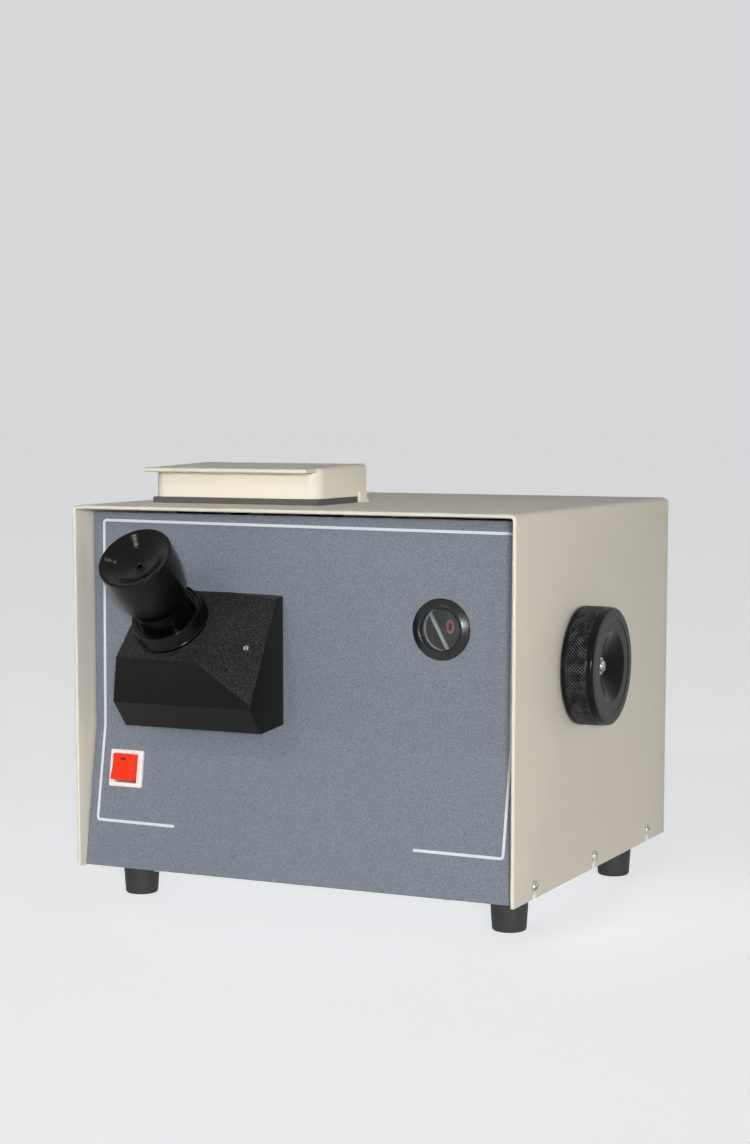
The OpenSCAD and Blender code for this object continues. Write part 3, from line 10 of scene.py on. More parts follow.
import bpy
import numpy as np
from mathutils import Matrix, Vector


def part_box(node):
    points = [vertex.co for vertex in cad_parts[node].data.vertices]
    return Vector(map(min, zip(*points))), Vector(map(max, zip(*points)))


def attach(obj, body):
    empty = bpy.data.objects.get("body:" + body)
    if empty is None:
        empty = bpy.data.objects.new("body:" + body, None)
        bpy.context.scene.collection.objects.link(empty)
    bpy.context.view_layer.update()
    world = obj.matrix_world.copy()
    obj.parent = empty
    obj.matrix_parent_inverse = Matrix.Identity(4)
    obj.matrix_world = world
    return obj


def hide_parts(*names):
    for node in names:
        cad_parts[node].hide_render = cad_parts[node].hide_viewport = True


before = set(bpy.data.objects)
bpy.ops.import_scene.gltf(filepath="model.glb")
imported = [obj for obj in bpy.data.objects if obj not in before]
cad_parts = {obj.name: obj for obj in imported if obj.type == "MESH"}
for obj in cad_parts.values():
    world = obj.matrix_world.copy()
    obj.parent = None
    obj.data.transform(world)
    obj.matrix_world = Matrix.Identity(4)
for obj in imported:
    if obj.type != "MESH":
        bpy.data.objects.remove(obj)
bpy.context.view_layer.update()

# %% [markdown]
# The case is the ruler for everything else. Places are written in millimetres in the case's own frame:
# X to the right from its middle, Y back from its front edge, Z up from its lower edge. One shift brings
# them into the model's frame in metres.

# %% The case's own frame
MM = 0.001
case_lo, case_hi = (np.array(corner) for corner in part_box("casing"))
CASE_W, CASE_D, CASE_H = (case_hi - case_lo) / MM
HOME = np.array([(case_lo[0] + case_hi[0]) / 2, case_lo[1], case_lo[2]])


def home(points):
    """Points in millimetres in the case's frame, as metres in the model's frame: p * 0.001 + HOME."""
    return np.asarray(points, float) * MM + HOME


print("case", CASE_W, CASE_D, CASE_H, "home", HOME)

# %% [markdown]
# Blender has its own cylinders and boxes, but a sheet-metal case or a turned eyecup is easier to describe
# by its section. So most pieces here are made in one of three ways: a grid of points closed into a skin, a
# profile turned about an axis, or a section carried round a path. All three end in a mesh whose faces must
# point outwards, which the signed volume tells: it is negative when a closed skin is inside out.

# %% Skins
def signed_volume(verts, faces):
    """Sum of the tetrahedra from the origin to each triangle, a . (b x c) / 6, over a fan of each face."""
    total = 0.0
    by_size = {}
    for face in faces:
        by_size.setdefault(len(face), []).append(face)
    for size, group in by_size.items():
        group = np.array(group)
        for k in range(1, size - 1):
            a, b, c = verts[group[:, 0]], verts[group[:, k]], verts[group[:, k + 1]]
            total += float(np.einsum("ij,ij->", a, np.cross(b, c))) / 6
    return total


def skin(grid, wrap_u=False, wrap_v=False, cap_u=False, cap_v=False):
    """Vertices and faces of grid[u, v, xyz]. wrap joins the last row to the first, cap closes both ends."""
    n, m = grid.shape[:2]
    index = np.arange(n * m).reshape(n, m)
    rows = np.arange(n if wrap_u else n - 1)
    cols = np.arange(m if wrap_v else m - 1)
    r, c = np.meshgrid(rows, cols, indexing="ij")
    r_next, c_next = (r + 1) % n, (c + 1) % m
    quads = np.stack([index[r, c], index[r_next, c], index[r_next, c_next], index[r, c_next]], -1)
    faces = quads.reshape(-1, 4).tolist()
    if cap_u:
        faces += [index[0, :].tolist(), index[-1, ::-1].tolist()]
    if cap_v:
        faces += [index[::-1, 0].tolist(), index[:, -1].tolist()]
    return grid.reshape(-1, 3), faces


def join(parts):
    """Several (vertices, faces) as one, each turned the right way out first."""
    verts, faces, offset = [], [], 0
    for v, f in parts:
        if signed_volume(v, f) < 0:
            f = [face[::-1] for face in f]
        verts.append(v)
        faces += [[i + offset for i in face] for face in f]
        offset += len(v)
    return np.concatenate(verts), faces


def box(lo, hi):
    """A plain box from its lowest to its highest corner, for cutters."""
    lo, hi = np.asarray(lo, float), np.asarray(hi, float)
    flat = lo[:2] + np.array([[0, 0], [1, 0], [1, 1], [0, 1]]) * (hi - lo)[:2]
    rings = [np.column_stack([flat, np.full(4, z)]) for z in (lo[2], hi[2])]
    return skin(np.stack(rings), wrap_v=True, cap_u=True)


print("a box of 2 by 3 by 4 holds", signed_volume(*join([box((0, 0, 0), (2, 3, 4))])))

# %% [markdown]
# A skin becomes an object. Its points are written in the model's frame, so the object itself stays at the
# origin, unturned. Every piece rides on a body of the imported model, and where it stands for a CAD solid,
# that solid is hidden. Smooth shading runs over the faces, and stops at the edges that are crisp.

# %% Pieces
CRISP = 35.0
stood_for = set()  # the CAD solids that pieces here stand for


def shade(mesh, sharp):
    """Smooth shading all over, with the edges sharper than sharp degrees kept crisp."""
    mesh.polygons.foreach_set("use_smooth", np.ones(len(mesh.polygons), bool))
    mesh.set_sharp_from_angle(angle=math.radians(sharp))


def loose(name, verts, faces):
    """An object made of the points as they are given, in the scene but riding on nothing yet."""
    mesh = bpy.data.meshes.new(name)
    mesh.from_pydata(verts.tolist(), [], faces)
    obj = bpy.data.objects.new(name, mesh)
    bpy.context.scene.collection.objects.link(obj)
    return obj


def piece(name, parts, material, body="base", replaces=(), sharp=CRISP):
    """A finished piece of the object, from parts in millimetres, riding on a body of the model."""
    verts, faces = join(parts)
    obj = loose(name, home(verts), faces)
    obj.data.validate()
    shade(obj.data, sharp)
    obj.data.materials.append(material)
    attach(obj, body)
    if replaces:
        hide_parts(*replaces)
    stood_for.update(replaces)
    print(f"{name}: {len(obj.data.vertices)} points, {len(obj.data.polygons)} faces")
    return obj


print("edges sharper than", CRISP, "degrees stay crisp")

# %% [markdown]
# Holes and round edges are work for modifiers: a Boolean cuts one solid out of another, and a Bevel rounds
# edges. Their result is worked out at once and kept as a plain mesh, so that it stays the same wherever
# the model goes.

# %% Cutting and rounding
def baked(obj):
    """A new mesh with the object's modifiers, or its text, worked out."""
    bpy.context.view_layer.update()
    return bpy.data.meshes.new_from_object(obj.evaluated_get(bpy.context.evaluated_depsgraph_get()))


def settle(obj, sharp=CRISP):
    """Turns an object's modifiers into plain mesh and sets its crisp edges again."""
    done = baked(obj)
    obj.modifiers.clear()
    obj.data = done
    shade(done, sharp)
    return obj


def subtract(obj, tool, overlaps=False):
    """Cuts the tool out of obj and throws the tool away. overlaps says that the tool's parts overlap."""
    cut = obj.modifiers.new("cut", "BOOLEAN")
    cut.operation, cut.solver, cut.object = "DIFFERENCE", "EXACT", tool
    cut.use_self = overlaps
    settle(obj)
    bpy.data.objects.remove(tool)
    return obj


def carve(obj, cutters):
    """Cuts a list of (vertices, faces) solids, in millimetres, out of obj."""
    verts, faces = join(cutters)
    return subtract(obj, loose("cutter", home(verts), faces), overlaps=True)


def soften(obj, width, segments=3, angle=30.0, sharp=CRISP, flat=False):
    """Rounds every edge sharper than angle, as a casting's or a moulding's edges are. flat lets the large
    faces keep their own direction right up to the rounding."""
    bevel = obj.modifiers.new("soften", "BEVEL")
    bevel.width, bevel.segments, bevel.limit_method = width * MM, segments, "ANGLE"
    bevel.angle_limit = math.radians(angle)
    if flat:
        obj.modifiers.new("flat", "WEIGHTED_NORMAL").keep_sharp = True
    settle(obj, sharp)
    print(f"{obj.name}: edges rounded by {width} mm, {len(obj.data.polygons)} faces")
    return obj


print("cutters and bevels are worked out at once")

# %% [markdown]
# The shapes that come back again and again: a turned piece, a plate with round corners, and a polyline
# with its corners eased. A turned piece is written as its profile, (radius, height) from one end of the
# axis to the other, the way a turner reads a drawing.

# %% Shape helpers
MOST_OF_SIDE = 0.48


def axes(direction):
    """Two unit vectors across a direction, and the direction: a right-handed frame."""
    w = np.asarray(direction, float) / np.linalg.norm(direction)
    side = np.array([1.0, 0, 0]) if abs(w[0]) < 0.9 else np.array([0, 1.0, 0])
    u = side - w * (side @ w)
    u /= np.linalg.norm(u)
    return u, np.cross(w, u), w


def turned(profile, origin, direction, steps=96, hollow=False):
    """Point at angle a and profile step (r, h): origin + r (cos a u + sin a v) + h w.
    A hollow profile is a closed loop and becomes a tube. An open one is closed at both ends."""
    u, v, w = axes(direction)
    a = np.linspace(0, 2 * np.pi, steps, endpoint=False)[:, None, None]
    r, h = np.asarray(profile, float).T[:, None, :, None]
    grid = np.asarray(origin, float) + r * (np.cos(a) * u + np.sin(a) * v) + h * w
    return skin(grid, wrap_u=True, wrap_v=hollow, cap_v=not hollow)


def rounded(points, radius, steps=4):
    """A polyline whose inner corners are replaced by quadratic curves that start radius before each
    corner, but never past MOST_OF_SIDE of a side, so that two curves on one side don't meet."""
    p = np.asarray(points, float)
    radius = np.broadcast_to(radius, len(p))
    out = [p[0]]
    t = np.linspace(0, 1, steps + 1)[:, None]
    for i in range(1, len(p) - 1):
        to_a, to_b = p[i - 1] - p[i], p[i + 1] - p[i]
        la, lb = np.linalg.norm(to_a), np.linalg.norm(to_b)
        q = min(radius[i], MOST_OF_SIDE * la, MOST_OF_SIDE * lb)
        if q <= 0:
            out.append(p[i])
            continue
        a, b = p[i] + to_a / la * q, p[i] + to_b / lb * q
        out += list((1 - t) ** 2 * a + 2 * t * (1 - t) * p[i] + t ** 2 * b)
    return np.array(out + [p[-1]])


def loop(w, h, radii, steps=6):
    """Rectangle w by h about (0, 0) with a radius at each corner (+x+y, -x+y, -x-y, +x-y), anticlockwise."""
    radii = np.broadcast_to(radii, 4).astype(float)
    sx, sy = np.array([1, -1, -1, 1]), np.array([1, 1, -1, -1])
    a = np.linspace(0, np.pi / 2, steps + 1)
    out = []
    for k in range(4):
        q = radii[k]
        c = np.array([sx[k] * (w / 2 - q), sy[k] * (h / 2 - q)])
        out.append(c + q * np.column_stack([np.cos(a + k * np.pi / 2), np.sin(a + k * np.pi / 2)]))
    return np.concatenate(out)


def at_height(flat, height):
    """Rows (x, y) as (x, y, height)."""
    return np.column_stack([flat, np.full(len(flat), height)])


def at_x(x, flat):
    """Rows (y, z) as (x, y, z)."""
    return np.column_stack([np.full(len(flat), x), flat])


def slab(w, h, radii, steps, levels, place):
    """A plate with round corners: at each level (inset, height) the loop shrinks by inset. place puts
    (x, y, height) rows in the case's frame."""
    radii = np.broadcast_to(radii, 4).astype(float)
    rings = []
    for inset, height in levels:
        flat = loop(w - 2 * inset, h - 2 * inset, np.maximum(radii - inset, 0.01), steps)
        rings.append(place(at_height(flat, height)))
    return skin(np.stack(rings), wrap_v=True, cap_u=True)


print("a loop of 4 corners has", len(loop(10, 10, 1)), "points")

# %% [markdown]
# ## Finishes
# A finish could be one flat colour, but paint, rubber and a casting are told apart by their small marks.
# So every finish starts from the same shader and adds what the real one shows: the orange peel of a powder
# coat, the speckle of the panel's paint, the pebbled skin of the black casting. The patterns read the
# object's own coordinates, which are metres here, so a scale of 1000 makes grains of about a millimetre.
# First come the helpers that make nodes and link them, for a material or for the world.

# %% Node helpers
def feed(owner, slot, value):
    """Sets an input to a value, or links it to another node's output."""
    if isinstance(value, bpy.types.NodeSocket):
        owner.node_tree.links.new(value, slot)
    else:
        slot.default_value = value


def node(owner, kind, **settings):
    """A new node. A setting is a property of the node, or else an input, which is fed."""
    made = owner.node_tree.nodes.new(kind)
    for key, value in settings.items():
        if hasattr(made, key):
            setattr(made, key, value)
        else:
            feed(owner, made.inputs[key.replace("_", " ")], value)
    return made


def reckon(owner, operation, *terms, kind="ShaderNodeMath", out="Value"):
    """The result of a Math node, or of a Vector Math node, with its inputs fed in order."""
    made = node(owner, kind, operation=operation)
    for slot, term in zip(made.inputs, terms):
        feed(owner, slot, term)
    return made.outputs[out]


def own_coordinates(owner):
    """A point's own coordinates on its piece. In the world they are the direction of a ray."""
    return node(owner, "ShaderNodeTexCoord").outputs["Object"]


def apart(owner, vector):
    """The outputs X, Y and Z of a vector."""
    return node(owner, "ShaderNodeSeparateXYZ", Vector=vector).outputs


def blend(owner, share, first, second):
    """Mixes two colours, the first where share is 0. A Mix node keeps its colours in inputs 6 and 7."""
    made = node(owner, "ShaderNodeMix", data_type="RGBA")
    for slot, value in ((0, share), (6, first), (7, second)):
        feed(owner, made.inputs[slot], value)
    return made.outputs[2]


def ramp(owner, source, stops):
    """A colour ramp over source. stops are (position, colour), and the first two are the ramp's own."""
    made = node(owner, "ShaderNodeValToRGB", Fac=source)
    element = made.color_ramp.elements
    for i, (position, colour) in enumerate(stops):
        e = element[i] if i < 2 else element.new(position)
        e.position, e.color = position, colour
    return made.outputs["Color"]


print("nodes read the pieces' own coordinates, in metres")

# %% [markdown]
# Colours are written as they would be read off a screen and turned into light values once, here. Values
# that are the same all over a piece go straight on the shader's sockets, and patterns are linked to them.

# %% Finish helpers
def linear(r, g, b):
    """A colour as it is read off a screen, 0 to 255, as the light values that the shader wants."""
    c = np.array([r, g, b]) / 255
    return (*np.where(c <= 0.04045, c / 12.92, ((c + 0.055) / 1.055) ** 2.4).tolist(), 1.0)


def tint(colour, factor):
    """A colour times a factor, held below white."""
    return (*[min(1.0, c * factor) for c in colour[:3]], 1.0)


def grey(value):
    """A grey whose lightness is a number, held at 1."""
    return (min(1, value),) * 3 + (1,)


def new_finish(name, colour, roughness, metallic=0.0, **sockets):
    """A material with one shader."""
    material = bpy.data.materials.new(name)
    material.use_nodes = True
    shader = material.node_tree.nodes["Principled BSDF"]
    shader.inputs["Base Color"].default_value = colour
    shader.inputs["Roughness"].default_value = roughness
    shader.inputs["Metallic"].default_value = metallic
    for socket, value in sockets.items():
        shader.inputs[socket.replace("_", " ")].default_value = value
    return material, shader


def grain(material, scale, detail=3.0, stretch=None):
    """Fine noise over the piece, from 0 to 1. stretch makes it longer along one axis, as brushing does."""
    where = own_coordinates(material)
    if stretch:
        where = node(material, "ShaderNodeMapping", Vector=where, Scale=stretch).outputs["Vector"]
    noise = node(material, "ShaderNodeTexNoise", Vector=where, Scale=scale, Detail=detail, Roughness=0.6)
    return noise.outputs["Fac"]


def cells(material, scale):
    """How far a point lies from the middle of its cell, in a pattern of cells."""
    where = own_coordinates(material)
    return node(material, "ShaderNodeTexVoronoi", Vector=where, Scale=scale).outputs["Distance"]


def vary(material, shader, socket, source, low, high):
    """Moves one of the shader's values from low to high as the source runs from 0.3 to 0.7."""
    feed(material, shader.inputs[socket], ramp(material, source, [(0.3, low), (0.7, high)]))


def bump(material, shader, height, strength, depth, onto=None):
    """Lets a pattern raise the surface by depth millimetres. onto stacks it on an earlier bump."""
    made = node(material, "ShaderNodeBump", Height=height, Strength=strength, Distance=depth * MM)
    if onto is not None:
        feed(material, made.inputs["Normal"], onto)
    feed(material, shader.inputs["Normal"], made.outputs["Normal"])
    return made.outputs["Normal"]


print("a mid grey on a screen is", round(linear(128, 128, 128)[0], 3), "as light")

# %% [markdown]
# The case is powder coated in a warm pale grey. Close up it has an orange peel about a millimetre
# across. The panel is sprayed grey-blue with a darker and a lighter fleck in it. Both are one recipe, a
# coat, with their own colours and scales. The panel is a plane, and a noise goes flat where the plane runs
# through whole numbers of its grid, so the panel's two scales keep clear of them.

# %% Paints
PEEL, CLOUD_SCALE, CLOUD_GLOSS = 0.6, 25, 0.12


def coat(name, colour, roughness, peel_scale, peel_depth, speckle=0.05, speckle_scale=900, **sockets):
    """Paint or plastic: orange peel, a fine variation of colour and a soft cloudiness of gloss."""
    material, shader = new_finish(name, colour, roughness, **sockets)
    vary(material, shader, "Base Color", grain(material, speckle_scale, 2.0),
         tint(colour, 1 - speckle), tint(colour, 1 + speckle))
    bump(material, shader, grain(material, peel_scale, 2.0), PEEL, peel_depth)
    vary(material, shader, "Roughness", grain(material, CLOUD_SCALE, 4.0),
         grey(roughness * (1 - CLOUD_GLOSS)), grey(roughness * (1 + CLOUD_GLOSS)))
    return material


case_paint = coat("case_paint", linear(228, 223, 209), 0.5, 700, 0.03, speckle=0.02, Specular_IOR_Level=0.14)
panel_paint = coat("panel_paint", linear(118, 125, 136), 0.45, 1130.8, 0.05, speckle=0.34, speckle_scale=1159)
line_paint = coat("line_paint", linear(218, 224, 230), 0.45, 900, 0.02, speckle=0.02)
number_paint = coat("number_paint", linear(236, 120, 122), 0.5, 900, 0.02, speckle=0.03)
mark_paint = coat("mark_paint", linear(96, 24, 12), 0.5, 900, 0.01, speckle=0.03)
print("paints:", case_paint.name, panel_paint.name, line_paint.name, number_paint.name, mark_paint.name)

# %% [markdown]
# The eyepiece housing is an aluminium casting under a black wrinkle finish. Its pebbles are cells, so a
# Voronoi pattern raises them, and a second, finer noise breaks up their gloss. The faces that look up are
# paled with fine dust and with painted light: a lighter tone, and pale specks that stand for the glints of
# a lamp from above. The upward part of the surface's direction picks these faces.

# %% Wrinkle finish
def wrinkle(name, colour, roughness, cell, depth):
    """Pebbles cell to the metre, raised by depth, with dust and painted light (a lighter tone, and pale
    specks for glints) where the surface's direction has an upward part Z of more than 0.15, and all of it
    from 0.5 on."""
    material, shader = new_finish(name, colour, roughness, Specular_IOR_Level=0.15)
    pebbles = cells(material, cell)
    raised = bump(material, shader, pebbles, 0.8, depth)
    bump(material, shader, grain(material, cell * 2.2, 2.0), 0.35, depth * 0.5, raised)
    clean = ramp(material, pebbles, [(0.0, tint(colour, 1.2)), (0.75, tint(colour, 0.8))])
    # dust and painted light: a lighter tone and pale specks, standing for glints, on the faces that look up
    dust_and_painted_glints = ramp(material, grain(material, cell * 1.3, 1.0),
                 [(0.35, tint(colour, 1.5)), (0.78, linear(104, 105, 106)), (0.56, tint(colour, 2.2))])
    facing = apart(material, node(material, "ShaderNodeTexCoord").outputs["Normal"])
    upward = ramp(material, facing["Z"], [(0.15, grey(0)), (0.5, grey(1))])
    feed(material, shader.inputs["Base Color"], blend(material, upward, clean, dust_and_painted_glints))
    return material


casting_black = wrinkle("casting_black", linear(18, 18, 19), 0.34, 1250, 0.10)
print("wrinkle finish:", casting_black.name)

# %% [markdown]
# The turned black parts are smooth, and yet a lamp does not show in them as a small square: the fine
# grooves that the lathe leaves pull its reflection out into a streak. A roughness that differs along and
# across the grooves would do it too, but here the grooves themselves are raised a little.

# %% Turned and moulded blacks
def lathe_marks(material, axis, scale, depth):
    """Fine grooves round an axis: their height is a noise of the distance along the axis alone."""
    shader = material.node_tree.nodes["Principled BSDF"]
    along = reckon(material, "DOT_PRODUCT", own_coordinates(material), axis, kind="ShaderNodeVectorMath")
    grooves = node(material, "ShaderNodeTexNoise", noise_dimensions="1D", W=along, Scale=scale, Detail=1.0)
    before = shader.inputs["Normal"].links[0].from_socket
    bump(material, shader, grooves.outputs["Fac"], 1.0, depth, before)


polish_black = coat("polish_black", linear(7, 7, 8), 0.12, 300, 0.004, Specular_IOR_Level=0.2)
lathe_marks(polish_black, (0, -0.7071, 0.7071), 2600, 0.09)
anodised_black = coat("anodised_black", linear(16, 16, 18), 0.28, 1500, 0.012, speckle=0.12,
                      speckle_scale=1500, Specular_IOR_Level=0.5)
bakelite_black = coat("bakelite_black", linear(13, 13, 14), 0.22, 900, 0.02, speckle=0.1,
                      Specular_IOR_Level=0.14)
lathe_marks(bakelite_black, (1, 0, 0), 900, 0.10)
moulded_black = coat("moulded_black", linear(36, 36, 38), 0.5, 1400, 0.03, speckle=0.06)
foot_rubber = coat("foot_rubber", linear(56, 56, 59), 0.6, 1000, 0.06, speckle=0.12, Specular_IOR_Level=0.3)
print("blacks:", polish_black.name, anodised_black.name, bakelite_black.name, foot_rubber.name)

# %% [markdown]
# Zinc screws, ground shafts and brass gears are bare metal. What tells them from a mirror are fine tool
# marks, a noise that is stretched along the way the tool went.

# %% Metals
def metal(name, colour, roughness, stretch, depth=0.01):
    """Bare metal with fine tool marks, longer along the axis whose stretch is small."""
    material, shader = new_finish(name, colour, roughness, metallic=1.0)
    lines = grain(material, 1600, 2.0, stretch)
    vary(material, shader, "Base Color", lines, tint(colour, 0.82), tint(colour, 1.1))
    vary(material, shader, "Roughness", lines, grey(roughness * 0.75), grey(roughness * 1.3))
    bump(material, shader, lines, 0.4, depth)
    return material


zinc = metal("zinc", linear(205, 204, 198), 0.3, (1, 1, 6))
ground_steel = metal("ground_steel", linear(190, 190, 192), 0.28, (6, 6, 1))
plate_zinc = metal("plate_zinc", linear(178, 180, 180), 0.42, (1, 8, 1))
gear_brass = metal("gear_brass", linear(196, 160, 92), 0.3, (4, 4, 4))
print("metals:", zinc.name, ground_steel.name, plate_zinc.name, gear_brass.name)

# %% [markdown]
# The white bezel, the orange rocker and the lamp's ceramic holder are plain coats with a fine skin. The
# gasket under the lid is open foam: its cells are darkened inside by painted shade, and their rims stand up.

# %% Plastics, ceramic and foam
bezel_white = coat("bezel_white", linear(240, 238, 236), 0.35, 1300, 0.01, speckle=0.01)
rocker_orange = coat("rocker_orange", linear(250, 50, 2), 0.3, 1300, 0.008, speckle=0.02,
                     Specular_IOR_Level=0.3)
ceramic = coat("ceramic", linear(236, 233, 224), 0.2, 500, 0.02, speckle=0.02)


def foam(name, colour):
    """Open foam: pores from a pattern of cells, darkened inside by painted shade and raised round their rims.
    """
    material, shader = new_finish(name, colour, 0.9)
    pores = cells(material, 900)
    # painted shade: the hollow middle of each pore is darker
    shades = ramp(material, pores, [(0.05, tint(colour, 0.45)), (0.5, tint(colour, 1.15))])
    feed(material, shader.inputs["Base Color"], shades)
    bump(material, shader, pores, 0.8, 0.4)
    return material


gasket_foam = foam("gasket_foam", linear(86, 83, 83))
print("plain finishes:", bezel_white.name, rocker_orange.name, ceramic.name, gasket_foam.name)

# %% [markdown]
# The window, the lenses and the prisms are clear glass. The lamp shines through a milky glass, which
# spreads its light, and a blue one, which makes it look like daylight.

# %% Glass
GLASS_IOR = 1.5


def glass(name, colour, roughness, transmission=1.0):
    """Glass with a faint ripple in its polish."""
    material, shader = new_finish(name, colour, roughness, Transmission_Weight=transmission, IOR=GLASS_IOR)
    bump(material, shader, grain(material, 60, 2.0), 0.1, 0.01)
    return material


clear_glass = glass("clear_glass", linear(240, 246, 245), 0.02)
milk_glass = glass("milk_glass", linear(246, 245, 240), 0.35, 0.35)
daylight_blue = glass("daylight_blue", linear(150, 190, 228), 0.05, 0.8)
print("glass:", clear_glass.name, milk_glass.name, daylight_blue.name)

# %% [markdown]
# The glasses of the colour disc run from pale straw to dark red-brown. They could be 26 pieces with 26
# materials. They are one piece here, so the shade comes from the angle of a point about the disc's axle.

# %% Colour glasses by their angle on the disc
DISC_X, DISC_Z = 30.0, 160.0
FIRST_GLASS_X, FIRST_GLASS_Z = -43.25, 178.0


def shade_round_disc(name):
    """Share of a turn from the first glass: fract((arctan2(z - z0, x - x0) + 2 pi - first) / 2 pi)."""
    material, shader = new_finish(name, linear(230, 180, 60), 0.05, Transmission_Weight=0.95, IOR=GLASS_IOR)
    centre = home([[DISC_X, 0, DISC_Z]])[0]
    spot = apart(material, own_coordinates(material))
    reach = reckon(material, "SUBTRACT", spot["X"], centre[0])
    lift = reckon(material, "SUBTRACT", spot["Z"], centre[2])
    first = math.atan2(FIRST_GLASS_Z - DISC_Z, FIRST_GLASS_X - DISC_X)
    past_first = reckon(material, "ADD", reckon(material, "ARCTAN2", lift, reach), 2 * math.pi - first)
    share = reckon(material, "FRACT", reckon(material, "DIVIDE", past_first, 2 * math.pi))
    shades = ramp(material, share, [
        (0.0, linear(250, 240, 190)), (1.0, linear(70, 14, 8)), (0.3, linear(240, 196, 80)),
        (0.55, linear(214, 120, 30)), (0.8, linear(150, 48, 14))])
    feed(material, shader.inputs["Base Color"], shades)
    return material


colour_glass = shade_round_disc("colour_glass")
print("colour glasses:", colour_glass.name)

# %% [markdown]
# ## The camera
# The photograph was taken from the front right, a little above the instrument, about a metre and a half
# away. The place, the turn and the focal length come from fitting the case's corners to the picture, and
# the small shift puts the object low in a tall frame.

# %% Camera
IMAGE_W, IMAGE_H, FOCAL_PX, SHIFT_PX, SENSOR = 750, 1144, 2312.3, 100, 36.0
CAMERA_PLACE, CAMERA_TURN, CAMERA_TILT = (774.8, -1475.2, 349.6), 25.45, 6.55
camera_data = bpy.data.cameras.new("camera")
camera_data.sensor_fit = "VERTICAL"
camera_data.sensor_height = SENSOR
camera_data.sensor_width = SENSOR * IMAGE_W / IMAGE_H
camera_data.lens = FOCAL_PX * SENSOR / IMAGE_H
camera_data.shift_y = SHIFT_PX / IMAGE_H
camera_data.clip_start = 0.05
camera = bpy.data.objects.new("camera", camera_data)
bpy.context.scene.collection.objects.link(camera)
pan = Matrix.Rotation(math.radians(CAMERA_TURN), 4, "Z")
tip_down = Matrix.Rotation(math.radians(90 - CAMERA_TILT), 4, "X")
camera.matrix_world = Matrix.Translation(Vector(home([CAMERA_PLACE])[0])) @ pan @ tip_down
bpy.context.scene.camera = camera
print("lens", round(camera_data.lens, 2), "mm, at", [round(c, 3) for c in camera.location])

# %% [markdown]
# ## The case
# The case is one sheet bent twice into an arch, and its front and back edges are hemmed: folded in on
# themselves, so the edge is thicker and round. A Solidify modifier would give the sheet its thickness but
# not its hems. So a section of the sheet, taken along its depth, is carried round the arch. Each point of
# the section knows how far it lies inside the outer face.

# %% Case shell
SHEET, HEM, HEM_DEPTH, HEM_STEP, BEND = 2.0, 3.0, 12.0, 0.4, 5.0


def at_y(y, flat):
    """Rows (x, z) as (x, y, z), with one y for all or one for each."""
    return np.column_stack([flat[:, 0], np.broadcast_to(y, len(flat)), flat[:, 1]])


def arch_path(inset, steps=10):
    """Points of the arch, inset from its outer face: up the left wall, round two quarter bends, down."""
    half, top, r = CASE_W / 2 - inset, CASE_H - inset, BEND - inset
    a = np.linspace(0, np.pi / 2, steps + 1)
    left = np.column_stack([-half + r - r * np.cos(a), top - r + r * np.sin(a)])
    right = np.column_stack([half - r + r * np.sin(a), top - r + r * np.cos(a)])
    return np.concatenate([[[-half, 0]], left, right, [[half, 0]]])


def case_shell():
    """Grid of section step s and path step t: (x, z) = arch_path(inset[s])[t], y = depth[s]."""
    nose = np.linspace(-np.pi / 2, np.pi / 2, 9)
    r = HEM / 2
    front = np.column_stack([r + r * np.sin(nose), r - r * np.cos(nose)])[::-1]
    back = np.column_stack([r + r * np.sin(nose), CASE_D - r + r * np.cos(nose)])
    inside = [[HEM, CASE_D - HEM_DEPTH], [SHEET, CASE_D - HEM_DEPTH - HEM_STEP],
              [SHEET, HEM_DEPTH + HEM_STEP], [HEM, HEM_DEPTH]]
    rows = [at_y(y, arch_path(inset)) for inset, y in np.concatenate([front, back, inside])]
    return skin(np.stack(rows), wrap_u=True, cap_v=True)


shell = piece("case_shell", [case_shell()], case_paint, replaces=["casing"])

# %% [markdown]
# The shell is then cut: an open slot for each screw at the lower edges, the mouth under the lid, a hole
# for the wheel's shaft and a slot for each of the two hinge ears. Every cutter reaches a few millimetres
# past the sheet on both sides, so that no thin film of it is left.

# %% Openings in the shell
FIRST_SCREW, LAST_SCREW, SCREW_Z, SLOT_R = 39.0, CASE_D - 45.0, 9.3, 3
SCREW_YS = (FIRST_SCREW, (FIRST_SCREW + LAST_SCREW) / 2, LAST_SCREW)
MOUTH_LO, MOUTH_HI, PAST = (-129.75, 76.5), (-16.75, 123.5), 6
WHEEL_Y, WHEEL_Z, SHAFT_HOLE_R = 122.6, 160.0, 8
LID_X0, LID_X1, LID_Y0, LID_Y1 = -148.5, -6.0, 66.0, 151.5
cutters = []
for side in (-1, 1):
    wall = side * CASE_W / 2
    for y in SCREW_YS:
        cutters.append(turned([(SLOT_R, -4), (SLOT_R, 4)], (wall, y, SCREW_Z), (1, 0, 0), 32))
        cutters.append(box((wall - 4, y - SLOT_R, -2), (wall + 4, y + SLOT_R, SCREW_Z)))
cutters.append(box((*MOUTH_LO, CASE_H - PAST), (*MOUTH_HI, CASE_H + PAST)))
shaft_hole = [(SHAFT_HOLE_R, -PAST), (SHAFT_HOLE_R, PAST)]
cutters.append(turned(shaft_hole, (CASE_W / 2, WHEEL_Y, WHEEL_Z), (1, 0, 0), 48))
for x0, x1 in ((LID_X1 + 0.3, LID_X1 + 2.5), (LID_X0 - 2.5, LID_X0 - 0.3)):
    cutters.append(box((x0, LID_Y1 - 17, CASE_H - PAST), (x1, LID_Y1 - 0.8, CASE_H + PAST)))
carve(shell, cutters)
print("case shell carved:", len(shell.data.polygons), "faces")

# %% [markdown]
# ## The screws
# Six slotted pan-head screws hold the case. A pan head is nearly flat on top with a rounded rim. Six
# objects could be linked to one mesh, but they would be turned objects, and pieces here stay unturned. So
# one head is turned from its profile, its slot is cut, and copies of its points go to every place, each
# turned about its own axis as a hand left it.

